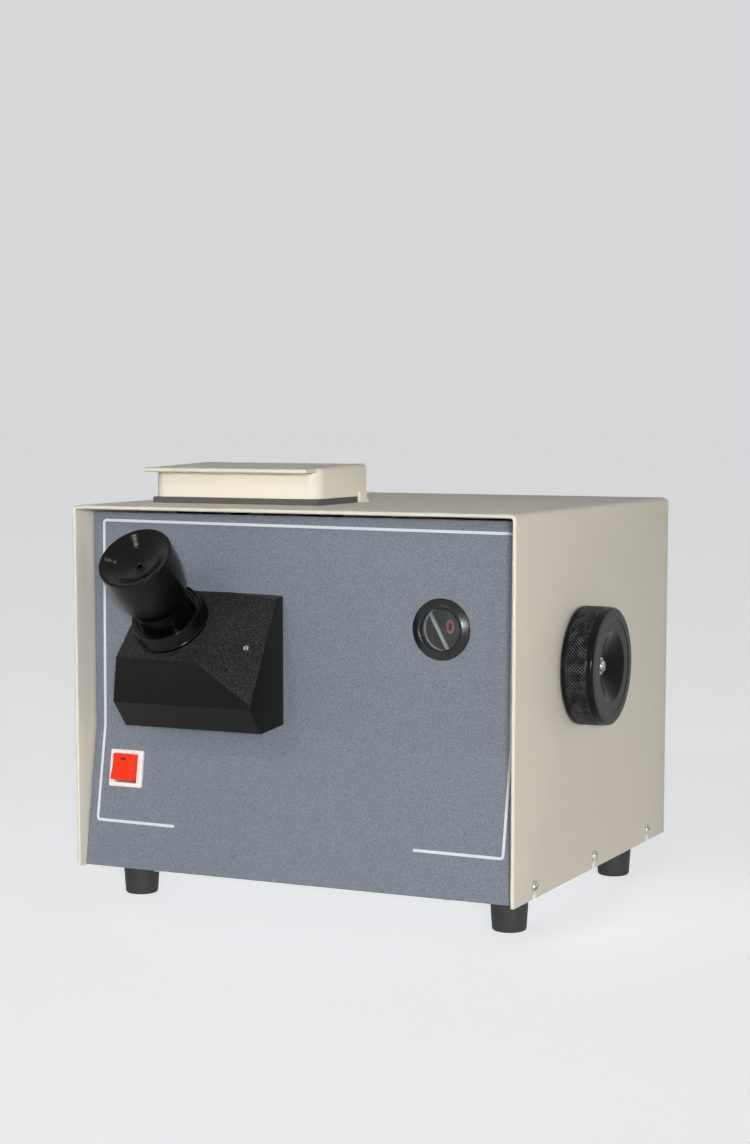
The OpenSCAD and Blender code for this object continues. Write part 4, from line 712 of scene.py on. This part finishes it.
# %% Pan-head screws
def read_back(mesh):
    """A mesh as (vertices, faces)."""
    verts = np.zeros(len(mesh.vertices) * 3)
    mesh.vertices.foreach_get("co", verts)
    return verts.reshape(-1, 3), [list(p.vertices) for p in mesh.polygons]


def pan_head(radius, height, slot_w, thread_r, length):
    """One screw along +Z, its head standing on z = 0: a turned profile with a slot cut across it."""
    crown = rounded([(0.01, height), (radius * 0.72, height * 0.97), (radius, height * 0.45), (radius, 0)],
                    [0, 2.0, 0.6, 0], 5)
    profile = np.concatenate([crown, [(thread_r, 0), (thread_r, -length), (0.01, -length)]])
    across = box((-2 * radius, -slot_w / 2, height * 0.42), (2 * radius, slot_w / 2, height + 2))
    head = loose("screw", *join([turned(profile, (0, 0, 0), (0, 0, 1), 40)]))
    subtract(head, loose("slot", *join([across])))
    shape = read_back(head.data)
    bpy.data.objects.remove(head)
    return shape


def copies(shape, places):
    """The shape at each place (origin, direction, turn in degrees), its +Z along the direction."""
    verts, faces = shape
    out = []
    for origin, direction, spin in places:
        u, v, w = axes(direction)
        a = math.radians(spin)
        e1, e2 = math.cos(a) * u + math.sin(a) * v, -math.sin(a) * u + math.cos(a) * v
        out.append((np.asarray(origin, float) + verts @ np.stack([e1, e2, w]), faces))
    return out


case_head = pan_head(4.3, 2.7, 1.2, 2.0, 6.5)
places = [((side * CASE_W / 2, y, SCREW_Z), (side, 0, 0), 25 + 63 * i)
          for side in (-1, 1) for i, y in enumerate(SCREW_YS)]
piece("case_screws", copies(case_head, places), zinc, replaces=["casing_screws"])

# %% [markdown]
# ## The feet
# Four tapered rubber feet, with a rounded lower rim and a deep counterbore for the screw. Seen from
# below, the screw's head sits far up inside. The profile goes all the way round the rubber, so it is a
# closed loop and gives a tube.

# %% Feet
FOOT_XS, FOOT_YS, FOOT_H = (-155.0, 155.0), (54.0, CASE_D - 54.0), 28.0


def turned_ring(profile, easing, steps, origin, direction, around):
    """A turned tube. Its profile is a loop, whose last point repeats the first, and easing says how far
    each corner is rounded."""
    return turned(rounded(profile, easing, steps)[:-1], origin, direction, around, hollow=True)


feet = [turned_ring([(5.5, 21.5), (5.5, 0), (12.5, 0), (14.5, 30.5), (2.0, 30.5), (2.0, 21.5), (5.5, 21.5)],
                    [0, 0.6, 2.5, 0.8, 0, 0, 0], 6, (x, y, -FOOT_H), (0, 0, 1), 72)
        for x in FOOT_XS for y in FOOT_YS]
piece("rubber_feet", feet, foot_rubber, replaces=["feet"])

# %% [markdown]
# ## The panel's printed frame
# The panel keeps its CAD solid and gets its paint. A white frame line is printed on it, which follows the
# panel's bend. It could be drawn by the paint, but its edges would blur close up. So it is a ribbon a few
# hundredths of a millimetre thick, carried along its own path. The print sits half a degree askew on the
# panel, as a screen held by hand leaves it.

# %% Frame line
BEND_Z, BEND_R, RECESS, TOE_RECESS = 107.0, 12.0, 25.5, 7.9
TOE = math.atan((RECESS - TOE_RECESS) / BEND_Z)


def panel_y(z):
    """Depth of the panel's face at a height: RECESS above the bend, sloping forward by the angle TOE below
    it, and between the two an arc, RECESS - r + sqrt(r^2 - drop^2)."""
    z = np.asarray(z, float)
    turn_z, arc_h = BEND_Z + BEND_R * math.tan(TOE / 2), BEND_R * math.sin(TOE)
    slope = RECESS - (BEND_Z - z) * math.tan(TOE)
    drop = np.clip(turn_z - z, 0, arc_h)
    arc = RECESS - BEND_R + np.sqrt(BEND_R ** 2 - drop ** 2)
    return np.where(z >= turn_z, RECESS, np.where(z > turn_z - arc_h, arc, slope))


def ribbon(path, width, ease=2.6, step=4, lift=0.05, sunk=-0.02):
    """A flat line of a given width along an (x, z) path on the panel, mitred where the path turns. Its
    corners are rounded by ease, and it is cut into steps so that it can follow the bend."""
    p = rounded(path, ease, 6)
    fine = [p[0]]
    for a, b in zip(p[:-1], p[1:]):
        n = max(1, int(np.ceil(np.linalg.norm(b - a) / step)))
        fine += [a + (b - a) * (k / n) for k in range(1, n + 1)]
    p = np.array(fine)
    d = np.gradient(p, axis=0)
    d /= np.linalg.norm(d, axis=1)[:, None]
    side = np.column_stack([-d[:, 1], d[:, 0]]) * width / 2
    edges = [(p + s * side, out) for s, out in ((1, sunk), (1, lift), (-1, lift), (-1, sunk))]
    return skin(np.stack([at_y(panel_y(xz[:, 1]) - out, xz) for xz, out in edges]), wrap_u=True, cap_v=True)


LINE_MID, LINE_HALF, LINE_W = np.array([-0.6, 148.2]), np.array([167.8, 114.4]), 2.1
LINE_TURN = math.radians(-0.47)
corners = np.array([(-0.598, -1), (-1, -1), (-1, 1), (1, 1), (1, -1), (0.585, -1)]) * LINE_HALF
c, s = math.cos(LINE_TURN), math.sin(LINE_TURN)
line_path = LINE_MID + corners @ np.array([[c, s], [-s, c]])
piece("panel_line", [ribbon(line_path, LINE_W)], line_paint, sharp=50)

# %% [markdown]
# ## The eyepiece housing
# The housing is straight behind the eyepiece and turns as it goes right: its front face twists from the
# 45 degree slope into a tall leaning plane. Each section is a short list of corners, and the sections in
# between are mixed from the two ends, which makes a ruled surface. The bevel then rounds its cast edges.

# %% Housing
HX0, HX1, HFACE = -129.5, -14.0, -62.0
H_TOP, H_LOW = 213.0, 113.0


def mix(a, b, t):
    """a + (b - a) t: a where t is 0, b where t is 1."""
    return a + (b - a) * t


def housing_section(x):
    """Corners (x, y, z) from the top at the panel round the front to the underside. t is 0 up to the
    twist and runs to 1 at the right-hand face, and each corner is mixed between its two places."""
    t = np.clip((x - HFACE) / (HX1 - HFACE), 0, 1)
    ridge, nose = np.array([-21.5, 166.0]), np.array([-26.5, 133.0])
    corners = np.array([(RECESS, mix(H_TOP, H_TOP - 1.4, t)),
                        (mix(RECESS - 1.5, 15.1, t), mix(H_TOP - 1.5, 209.6, t)),
                        mix(ridge, nose + [0.1, 3.0], t), nose, (-9.2, H_LOW), (RECESS, H_LOW + 2.6)])
    return at_x(x, corners)


stations = np.concatenate([[HX0], np.linspace(HFACE, HX1, 13)])
casting = skin(np.stack([housing_section(x) for x in stations]), wrap_v=True, cap_u=True)
housing = piece("eyepiece_housing_skin", [casting], casting_black,
                replaces=["eyepiece_housing"], sharp=30)
soften(housing, 1.3, 4, angle=14, sharp=40, flat=True)

# %% [markdown]
# ## The eyepiece
# Everything on the eyepiece is turned about one axis, which leaves the 45 degree face at a right angle:
# the collar with its bright turned edges, and the polished eyecup with a conical dish and a peephole.

# %% Collar
EYE = np.array([-95.75, 2.664, 190.164])
EYE_AXIS = np.array([0, -1, 1]) / math.sqrt(2)
collar = turned_ring([(20.34, -14), (23.3, -14), (23.3, 0.0), (29.4, 0.0), (29.4, 2.2), (28.9, 2.6),
                      (26.7, 12.5), (22.9, 12.5), (22.5, 11.3), (20.34, 11.3), (20.34, -14)],
                     [0, 0.2, 0, 0.2, 0.5, 0.3, 0.7, 0.4, 0.3, 0.4, 0], 4, EYE, EYE_AXIS, 128)
piece("collar_turned", [collar], polish_black, replaces=["collar"])

# %% [markdown]
# The eyecup is one turned piece, thin at the neck and wide at the rim. The eye goes to a small hole at the
# bottom of its dish. The profile runs up the outside, over the rim and down the dish, and a plain bore
# leads back. Only the seen side of it is eased.

# %% Eyecup
CUP_R, CUP_H, RIM, PEEP_R, BORE_R = 28.2, 73.0, 1.4, 1.8, 16
outer = rounded([(20.3, -4), (20.3, 15.5), (21.6, 27.0), (22.9, 28.4), (25.5, 35.0), (27.5, 46.7),
                 (CUP_R, 55.5), (CUP_R, CUP_H), (CUP_R - 2.8, CUP_H - 0.3), (15.5, CUP_H - 5.8),
                 (3.0, CUP_H - 9.3), (PEEP_R, CUP_H - 10)],
                [0, 0, 1.0, 1.2, 4, 6, 5, RIM, 1.2, 2.5, 1.0, 0], 8)
inner = [(PEEP_R, CUP_H - 13), (BORE_R, CUP_H - 20), (BORE_R, -4)]
cup = turned(np.concatenate([outer, inner]), EYE, EYE_AXIS, 160, hollow=True)
piece("eyecup_turned", [cup], polish_black, body="eyecup",
      replaces=["eyecup"], sharp=50)

# %% [markdown]
# ## The number window
# A turned black ring with a broad conical bevel holds a glass, behind which a number of the colour disc
# passes. The bevel catches a bright crescent of light.

# %% Window ring
WIN = np.array([113.0, RECESS, 191.8])
ring = turned_ring([(18.4, -7), (16.5, -7), (16.5, 1.6), (15.0, 1.6), (15.0, 2.8), (16.2, 3.8), (17.4, 3.8),
                    (22.3, 0.9), (22.3, 0.02), (18.4, 0.02), (18.4, -7)],
                   [0, 0.2, 0, 0.2, 0.3, 0.3, 0.6, 0.5, 0, 0, 0], 5, WIN, (0, -1, 0), 128)
piece("window_ring_turned", [ring], anodised_black, replaces=["window_ring"])

# %% [markdown]
# The disc behind the window carries a number for every glass, 0 to 25, printed on a ring. Text starts as
# a font outline, is made a flat mesh, and is then wrapped to its place, upright where it passes the window.

# %% Numbers on the disc
GLASSES, DIGIT_SIZE, DIGIT_Y = 26, 13.5, 41.96
to_window = (WIN[0] - DISC_X, WIN[2] - DISC_Z)
NUMBER_R, window_angle = math.hypot(*to_window), math.atan2(to_window[1], to_window[0])
digits = []
for number in range(GLASSES):
    text = bpy.data.curves.new("digits", "FONT")
    text.body, text.size, text.align_x, text.align_y = str(number), DIGIT_SIZE, "CENTER", "CENTER"
    text.extrude, text.offset = 0.06, 0.35
    holder = bpy.data.objects.new("digits", text)
    bpy.context.scene.collection.objects.link(holder)
    co, faces = read_back(baked(holder))
    bpy.data.objects.remove(holder)
    spin = 2 * np.pi * number / GLASSES
    angle = window_angle + spin
    across = np.array([math.cos(spin), 0, math.sin(spin)])
    up = np.array([-math.sin(spin), 0, math.cos(spin)])
    centre = np.array([DISC_X + NUMBER_R * math.cos(angle), DIGIT_Y, DISC_Z + NUMBER_R * math.sin(angle)])
    digits.append((centre + co @ np.stack([across, up, [0, -1.0, 0]]), faces))
piece("disc_numbers", digits, number_paint, body="disc", sharp=60)

# %% [markdown]
# ## The switch
# A white bezel stands on the sloping part of the panel, so its places are given across, up the slope and
# out of it, and one function brings them home. The bezel is a section carried round a rectangle, and the
# body behind the panel is a box with a well for the rocker.

# %% Bezel
SWITCH_X, SWITCH_Z = -146.4, 75.1
BEZEL, OPENING, BODY, NECK = 28.4, (19.5, 21.8), 24.2, 24.4


def on_toe(points):
    """Local (x, y into the panel, z up the panel) to the case's frame, on the sloping part of the panel."""
    c, s = math.cos(TOE), math.sin(TOE)
    p = np.asarray(points, float)
    origin = np.array([SWITCH_X, float(RECESS - (BEND_Z - SWITCH_Z) * math.tan(TOE)), SWITCH_Z])
    return origin + np.column_stack([p[:, 0], p[:, 1] * c + p[:, 2] * s, -p[:, 1] * s + p[:, 2] * c])


def toe_level(rows):
    """(x, up, height out of the panel) rows to the case's frame."""
    return on_toe(np.column_stack([rows[:, 0], -rows[:, 2], rows[:, 1]]))


def carried(rings):
    """A closed skin through rounded rectangles (width, height, corner radius, height out of the panel)."""
    grid = [toe_level(at_height(loop(w, h, r, 5), z)) for w, h, r, z in rings]
    return skin(np.stack(grid), wrap_u=True, wrap_v=True)


outside = [(BEZEL - 2 * i, BEZEL - 2 * i, max(1.2 - i, 0.3), z)
           for i, z in ((0, -0.02), (0, 1.6), (0.25, 2.15), (0.8, 2.4))]
opening = [(OPENING[0] + 2 * grow, OPENING[1] + 2 * grow, 0.5 + grow, z)
           for grow, z in ((0.5, 2.4), (0.15, 2.25), (0, 1.9), (0, -2.0))]
bezel = carried(outside + opening + [(NECK, NECK, 0.8, -2.0), (NECK, NECK, 0.8, -0.02)])
walls = carried([(BODY, BODY, 0.7, -12.9), (BODY, BODY, 0.7, -2.1),
                 (*OPENING, 0.7, -2.1), (*OPENING, 0.7, -12.9)])
back = slab(BODY, BODY, 0.8, 4, [(0.6, -19), (0, -18.4), (0, -12.9), (0.2, -12.8)], toe_level)
terminals = [slab(0.8, 6.3, 0.3, 2, [(0, -27), (0, -18)], lambda rows, x=x: toe_level(rows + [x, 0, 0]))
             for x in (-7, 0, 7)]
piece("switch_bezel", [bezel, walls, back] + terminals, bezel_white,
      replaces=["switch_body"])

# %% [markdown]
# The rocker's face is folded at its middle, so the pressed half is low and the other half stands out. It
# turns about a pivot just behind the panel, and it is drawn level first, then turned by half its swing.
# A dark mark is printed on its upper half.

# %% Rocker
SWING, ROCKER_W, ROCKER_H, PROUD, PIVOT = 14.0, 18.6, 20.0, 8.2, 2.0
half_swing = math.radians(SWING / 2)
fold_depth = -(PROUD + PIVOT) + ROCKER_H / 2 * math.tan(half_swing)


def pressed(x, y, z):
    """(across, into the panel, up) about the pivot, turned by half the swing, in the case's frame."""
    c, s = math.cos(-half_swing), math.sin(-half_swing)
    return on_toe(np.column_stack([np.broadcast_to(x, len(y)), y * c - z * s + PIVOT, y * s + z * c]))


def rocker_solid():
    """Side view (depth, up), extruded across: two flat halves meet in a fold, and the back is an arc of the
    pivot's circle."""
    tip, r, half = PROUD + PIVOT, ROCKER_H / 2 + 0.2, ROCKER_H / 2
    a = np.linspace(math.radians(78), math.radians(-78), 15)
    side = np.concatenate([[(-tip, -half), (fold_depth, 0), (-tip, half)],
                           np.column_stack([r * np.cos(a), r * np.sin(a)])])
    rows = [pressed(x, side[:, 0], side[:, 1]) for x in (-ROCKER_W / 2, ROCKER_W / 2)]
    return skin(np.stack(rows), wrap_v=True, cap_u=True)


def on_upper_half(rows):
    """(x, up the upper half of the face, height off it) rows to the case's frame, from the fold line."""
    c, s = math.cos(half_swing), math.sin(half_swing)
    return pressed(rows[:, 0], fold_depth - rows[:, 1] * s - rows[:, 2] * c, rows[:, 1] * c - rows[:, 2] * s)


rocker = piece("rocker_key", [rocker_solid()], rocker_orange, body="rocker",
               replaces=["rocker"])
soften(rocker, 0.7, 3, angle=25)
mark = slab(4.6, 1.7, 0.2, 2, [(0, -0.1), (0, 0.03)], lambda rows: on_upper_half(rows + [0, 6.0, 0]))
piece("rocker_mark", [mark], mark_paint, body="rocker")

# %% [markdown]
# ## The lid
# The lid is a shallow box of sheet metal, round at its two front corners and bent softly at the back of
# its top. A bevelled box would have one radius everywhere. So a section of the wall and the bend is
# carried round the plan, with a bend that changes on the way.

# %% Lid
LID_LOW, LID_TOP, LID_T, LID_RISE, LID_CORNER = CASE_H + 4.7, CASE_H + 27.5, 2.0, 1.99, 11
LID_MID_X, PIN_Y, PIN_Z, PIN_HOLE_R = (LID_X0 + LID_X1) / 2, LID_Y1 - 4, CASE_H + 4.4, 1.54


def lid_plan(inset, steps=8):
    """Plan of the walls, inset from the outer face: loop() about the lid's middle, with its own corners."""
    w, d = LID_X1 - LID_X0 - 2 * inset, LID_Y1 - LID_Y0 - 2 * inset
    radii = np.maximum(np.array([2.2, 2.2, LID_CORNER, LID_CORNER]) - inset, 0.15)
    return loop(w, d, radii, steps) + [LID_MID_X, (LID_Y0 + LID_Y1) / 2]


def top_z(y):
    """Height of the lid's top: it climbs by LID_RISE from the front edge to the bend at the back."""
    return LID_TOP + LID_RISE * np.clip((y - LID_Y0) / (LID_Y1 - 6 - LID_Y0), 0, 1)


def lid_skin():
    """Rings from the wall's lower edge up the outside, over the bend, and back down inside. The bend's
    radius is mixed round the plan: large at the back, small at the sides, nearly sharp at the front.
    A ring at angle a of the bend lies radius (1 - cos a) inward and radius (1 - sin a) below the top."""
    base, inner = lid_plan(0), lid_plan(LID_T)
    back = np.clip((base[:, 1] - (LID_Y1 - 2.3)) / 2.3, 0, 1)
    front = np.clip(((LID_Y0 + LID_CORNER) - base[:, 1]) / LID_CORNER, 0, 1)
    bend = 2.5 + 3.5 * back - 1.9 * front
    inward = lid_plan(1.0) - base
    inward /= np.maximum(np.linalg.norm(inward, axis=1)[:, None], 1e-9)
    angles = np.linspace(0, np.pi / 2, 7)

    def over_bend(plan, radius, below, a):
        xy = plan + inward * (radius * (1 - np.cos(a)))[:, None]
        return np.column_stack([xy, top_z(xy[:, 1]) - below - radius * (1 - np.sin(a))])

    rings = [at_height(base, LID_LOW + 0.3)]
    rings += [over_bend(base, bend, 0, a) for a in angles]
    rings += [over_bend(inner, np.maximum(bend - LID_T, 0.3), LID_T, a) for a in angles[::-1]]
    rings += [at_height(inner, LID_LOW + 0.3), at_height(lid_plan(LID_T - 0.3), LID_LOW),
              at_height(lid_plan(0.3), LID_LOW)]
    verts, faces = skin(np.stack(rings), wrap_u=True, wrap_v=True)
    # The band from the outside's last ring to the inside's first is left out, and each gets a flat face.
    n, top = len(base), len(angles)
    faces = [f for f in faces if not (min(f) // n == top and max(f) // n == top + 1)]
    faces += [list(range(top * n, (top + 1) * n)), list(range((top + 1) * n, (top + 2) * n))[::-1]]
    return verts, faces


lid = piece("lid_sheet", [lid_skin()], case_paint, body="lid", replaces=["lid"])
pin_hole = turned([(PIN_HOLE_R, -200), (PIN_HOLE_R, 200)], (LID_MID_X, PIN_Y, PIN_Z), (1, 0, 0), 32)
carve(lid, [pin_hole])
print("lid walls", round(LID_TOP - LID_LOW, 1), "mm tall")

# %% [markdown]
# The finger lip is a folded flap that runs forward from the top, with a thin seam under it. Its front edge
# is the sheet's own fold, a half circle. Two lugs hang from the lid's side walls and carry the pins.

# %% Lip and lugs
LIP_R, LIP_D, LUG_R, LUG_FOOT = 3.3 / 2, 17.5, 3.8, LID_LOW + 3
lip_mid = np.array([LID_MID_X, LID_Y0 - LIP_D / 2 + 1.0, 0])
edge = [(LIP_R - LIP_R * math.cos(a), LID_TOP - LIP_R + LIP_R * math.sin(a))
        for a in np.linspace(-np.pi / 2, np.pi / 2, 9)]
lip = slab(LID_X1 - LID_X0 - 3.0, LIP_D + 2.0, [0.3, 0.3, 2.2, 2.2], 4, edge, lambda rows: rows + lip_mid)
piece("lid_lip", [lip], case_paint, body="lid")
a = np.linspace(np.pi, 2 * np.pi, 17)
lug = np.concatenate([np.column_stack([PIN_Y + LUG_R * np.cos(a), PIN_Z + LUG_R * np.sin(a)]),
                      [(PIN_Y + LUG_R, LUG_FOOT), (PIN_Y - LUG_R, LUG_FOOT)]])
lugs = [skin(np.stack([at_x(x, lug), at_x(x + LID_T, lug)]), wrap_v=True, cap_u=True)
        for x in (LID_X0, LID_X1 - LID_T)]
carve(piece("lid_lugs", lugs, case_paint, body="lid"), [pin_hole])
print("lugs of", 2 * LUG_R, "mm about the pins")

# %% [markdown]
# ## The handwheel
# The black wheel has a fine diamond knurl round its rim. A bump would show it, but not at the outline,
# so it is in the mesh. Two sets of helical grooves cross there: the height of a point is the lower of two
# triangle waves, one for each hand, which leaves small pyramids.

# %% Handwheel
WHEEL_X0, WHEEL_T, WHEEL_R, BOWL = 184.0, 23.5, 44.0, 10.0
KNURL_FROM, KNURL_TO, RUN_OUT = 2.2, WHEEL_T - 5.0, 0.6


def knurled_wheel(pitch=2.6, depth=0.7, per=4):
    """Grid of angle and profile step, turned about the X axis. On the rim the radius drops by depth times
    the larger of two ridge waves |2 frac(q) - 1|, with q = (arc + h) / pitch and (arc - h) / pitch."""
    count = int(round(2 * np.pi * WHEEL_R / pitch))
    rim = np.linspace(KNURL_FROM, KNURL_TO, int((KNURL_TO - KNURL_FROM) / pitch * per) + 1)
    back = rounded([(18, 0), (WHEEL_R - 2, 0), (WHEEL_R, 0), (WHEEL_R, KNURL_FROM)], [0, 0, 2.0, 0], 5)
    front = rounded([(WHEEL_R, KNURL_TO), (WHEEL_R - 0.3, KNURL_TO + 0.6), (WHEEL_R - 0.6, WHEEL_T),
                     (35.5, WHEEL_T), (35.1, WHEEL_T - 0.35), (26.4, WHEEL_T - 0.35), (25.0, WHEEL_T - 0.9),
                     (8.4, WHEEL_T - BOWL), (5.02, WHEEL_T - BOWL), (5.02, -3), (12, -3), (12, 0.0), (18, 0)],
                    [0, 0.4, 3.6, 0.4, 0.2, 0.5, 0.8, 1.0, 0, 0, 0.4, 0, 0], 6)
    profile = np.concatenate([back[:-1], np.column_stack([np.full(len(rim), WHEEL_R), rim]), front[1:-1]])
    a = np.linspace(0, 2 * np.pi, count * per, endpoint=False)[:, None]
    r, h = profile[None, :, 0], profile[None, :, 1]
    arc = a / (2 * np.pi) * count
    plus, minus = (np.abs(2 * (q - np.floor(q)) - 1) for q in (arc + h / pitch, arc - h / pitch))
    on_rim = np.clip((h - KNURL_FROM) / RUN_OUT, 0, 1) * np.clip((KNURL_TO - h) / RUN_OUT, 0, 1)
    r = r - depth * np.maximum(plus, minus) * on_rim * (r > WHEEL_R - 0.01)
    grid = np.stack([WHEEL_X0 + h + 0 * a, WHEEL_Y + r * np.cos(a), WHEEL_Z + r * np.sin(a)], -1)
    return skin(grid, wrap_u=True, wrap_v=True)


piece("handwheel_knurled", [knurled_wheel()], bakelite_black, body="wheel",
      replaces=["handwheel"], sharp=65)

# %% [markdown]
# The tips of the knurl are painted pale: a painted sheen that stands for the glints of the lamps on them,
# with some of the wear of hands. The tips could be a second material, but sheen and wear have no edge. So
# the paleness comes from how far a point lies from the wheel's axis, and only between the knurl's ends.

# %% Painted sheen and wear on the knurl's tips
SHEEN_FROM, SHEEN_TO = (WHEEL_R - 0.52) * MM, (WHEEL_R - 0.1) * MM
BAND_MID, BAND_HALF = -(WHEEL_T - 7.8) / 2 * MM, (WHEEL_T - 8.2) / 2 * MM


def remap(owner, value, **limits):
    """A value moved from one span to another: From Min to From Max becomes To Min to To Max."""
    return node(owner, "ShaderNodeMapRange", Value=value, **limits).outputs["Result"]


def worn_knurl(material):
    """Paints a pale sheen, with some wear, on the tips of the knurl: the reach of a point from the wheel's
    axis, sqrt((y - y0)^2 + (z - z0)^2), picks the tips, and its x leaves out the smooth bands at both ends."""
    shader = material.node_tree.nodes["Principled BSDF"]
    plain = shader.inputs["Base Color"].links[0].from_socket
    vector = {"kind": "ShaderNodeVectorMath", "out": "Vector"}
    centre = home([[WHEEL_X0 + KNURL_TO, WHEEL_Y, WHEEL_Z]])[0]
    offset = reckon(material, "SUBTRACT", own_coordinates(material), centre, **vector)
    across = reckon(material, "MULTIPLY", offset, (0, 1, 1), **vector)
    reach = reckon(material, "LENGTH", across, kind="ShaderNodeVectorMath")
    tips = remap(material, reach, From_Min=SHEEN_FROM, From_Max=SHEEN_TO)
    band = reckon(material, "COMPARE", apart(material, offset)["X"], BAND_MID, BAND_HALF)
    patches = ramp(material, grain(material, 180), [(0.38, grey(0.12)), (0.68, grey(1))])
    sheen_and_wear = reckon(material, "MULTIPLY", reckon(material, "MULTIPLY", tips, band), patches)
    # the pale colour is a painted sheen on the knurl's tips, with some wear
    feed(material, shader.inputs["Base Color"], blend(material, sheen_and_wear, plain, linear(132, 135, 140)))


worn_knurl(bakelite_black)
print("knurl worn from", round(SHEEN_FROM / MM, 2), "mm outward")

# %% [markdown]
# One large pan-head screw and a washer hold the wheel on its shaft, at the bottom of its bowl. The screw
# is made by the function that made the case's screws.

# %% Wheel screw and washer
bowl_x = WHEEL_X0 + WHEEL_T - BOWL
WASHER_T = 1.2
washer = turned_ring([(2.5, 0), (6.5, 0), (6.5, WASHER_T), (2.5, WASHER_T), (2.5, 0)],
                     [0, 0.2, 0.3, 0.2, 0], 3, (bowl_x, WHEEL_Y, WHEEL_Z), (1, 0, 0), 64)
wheel_head = copies(pan_head(4.5, 2.6, 1.4, 2.5, 16),
                    [((bowl_x + WASHER_T, WHEEL_Y, WHEEL_Z), (1, 0, 0), 40)])
piece("wheel_screw_turned", [washer] + wheel_head, zinc, body="wheel",
      replaces=["wheel_screw"])

# %% [markdown]
# ## The pieces that keep their CAD solids
# Sheet brackets, shafts, wells, glasses and the rear fittings are already the right shape. Each one is
# given the finish that its real counterpart has.

# %% Finishes on the CAD nodes
finishes = {
    panel_paint: ["front_panel"],
    case_paint: ["rear_panel", "hinge_ears"],
    zinc: ["foot_screws", "foot_nuts", "panel_screws", "housing_screws", "collar_screw", "hinge_pins"],
    plate_zinc: ["base_plate", "shaft_brackets", "lamp_house", "lamp_bracket"],
    line_paint: ["number_index"],
    ground_steel: ["wheel_shaft", "bevel_pinion", "shaft_collars", "disc_hub", "disc_axle", "disc_bearings",
                   "inlet_pins"],
    gear_brass: ["shaft_bushes", "bevel_gear"],
    anodised_black: ["window_nut", "lens_cell", "prism_carrier", "well_stand", "sample_well",
                     "reference_well", "colour_disc", "filter_frame"],
    casting_black: ["bearing_post"],
    moulded_black: ["mains_inlet", "fuse_holder", "fuse_cap"],
    gasket_foam: ["lid_gasket"],
    clear_glass: ["window_glass", "eye_lens", "deviation_prism", "rhomboid_prism"],
    milk_glass: ["opal_glass", "lamp_bulb"],
    daylight_blue: ["daylight_glass"],
    colour_glass: ["colour_glasses"],
    ceramic: ["lamp_holder"],
}
for material, names in finishes.items():
    for name in names:
        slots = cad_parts[name].data.materials
        slots.clear()
        slots.append(material)
bare = set(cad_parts) - stood_for - {name for names in finishes.values() for name in names}
print("nodes without a finish:", sorted(bare))

# %% [markdown]
# ## Floor and light
# The floor and the backdrop are plain and pale. If they showed the light that falls on them, a lamp would
# leave a bright pool there. So what the camera and reflections see is a set colour, and the light on the
# object is another: one soft lamp right of the camera, and a dimmer world that is brighter round the
# horizon than overhead. Two small lamps draw the streaks on the eyecup.

# %% Floor
FLOOR_HALF = 30.0


def shown_rays(owner):
    """1 for the camera's rays, for reflections and through glass, and 0 for the light on the object."""
    rays = node(owner, "ShaderNodeLightPath").outputs
    direct = reckon(owner, "MAXIMUM", rays["Is Camera Ray"], rays["Is Glossy Ray"])
    return reckon(owner, "MAXIMUM", direct, rays["Is Transmission Ray"])


def backdrop(name, verts, faces, colour, shown):
    """A plain surface that takes shadows but shows a set pale colour to the camera and in reflections."""
    obj = loose(name, verts, faces)
    material, shader = new_finish(name, colour, 0.9, Specular_IOR_Level=0.0)
    feed(material, shader.inputs["Emission Color"], shown)
    feed(material, shader.inputs["Emission Strength"], shown_rays(material))
    obj.data.materials.append(material)


backdrop("floor", FLOOR_HALF * np.array([(-1, -1, 0), (1, -1, 0), (1, 1, 0), (-1, 1, 0)]), [(0, 1, 2, 3)],
         (0.60, 0.60, 0.61, 1), (0.587, 0.60, 0.614, 1))
print("floor", 2 * FLOOR_HALF, "m wide")

# %% [markdown]
# The world has no picture in it. For the light on the object its strength falls from the horizon, where
# the upward part of a ray is 0, to almost nothing where it is 0.5. What is seen of it has one strength.

# %% World
world = bpy.data.worlds.new("studio")
bpy.context.scene.world = world
world.use_nodes = True
background = world.node_tree.nodes["Background"]
shown = shown_rays(world)
dome = remap(world, apart(world, own_coordinates(world))["Z"], From_Max=0.5, To_Min=1.15, To_Max=0.04)
feed(world, background.inputs["Strength"], remap(world, shown, To_Min=dome, To_Max=0.697))
feed(world, background.inputs["Color"], blend(world, shown, (1.0, 0.96, 0.88, 1), (0.96, 0.98, 1.0, 1)))
print("world nodes:", len(world.node_tree.nodes))

# %% [markdown]
# The key lamp is large, far away and kept narrow, so that its light lies evenly on the case. The other two
# are small and close, and their work is only to be mirrored.

# %% Lamps
def soft_lamp(name, spot, target, size, power, spread=180):
    """A square area lamp at a spot, turned to look at target. A grid in front of it narrows its spread."""
    data = bpy.data.lights.new(name, "AREA")
    data.shape, data.size, data.energy, data.spread = "SQUARE", size, power, math.radians(spread)
    lamp = bpy.data.objects.new(name, data)
    bpy.context.scene.collection.objects.link(lamp)
    aim = (Vector(target) - Vector(spot)).to_track_quat("-Z", "Y")
    lamp.matrix_world = Matrix.Translation(Vector(spot)) @ aim.to_matrix().to_4x4()


EYECUP = (-0.1, -0.07, 0.27)
soft_lamp("key", (2.60, -4.74, 0.85), (0, -0.1, 0.15), 0.80, 6.5, spread=30)
soft_lamp("high", (0.305, -0.32, 1.69), EYECUP, 0.12, 0.9)
soft_lamp("front", (-0.40, -1.69, 1.22), EYECUP, 0.14, 4.0)
bpy.context.scene.view_settings.view_transform = "Standard"
print("lamps:", [lamp.name for lamp in bpy.data.lights])

# %% [markdown]
# ## The end
# Last, the scene is brought up to date.

# %% Bring the scene up to date
bpy.context.view_layer.update()
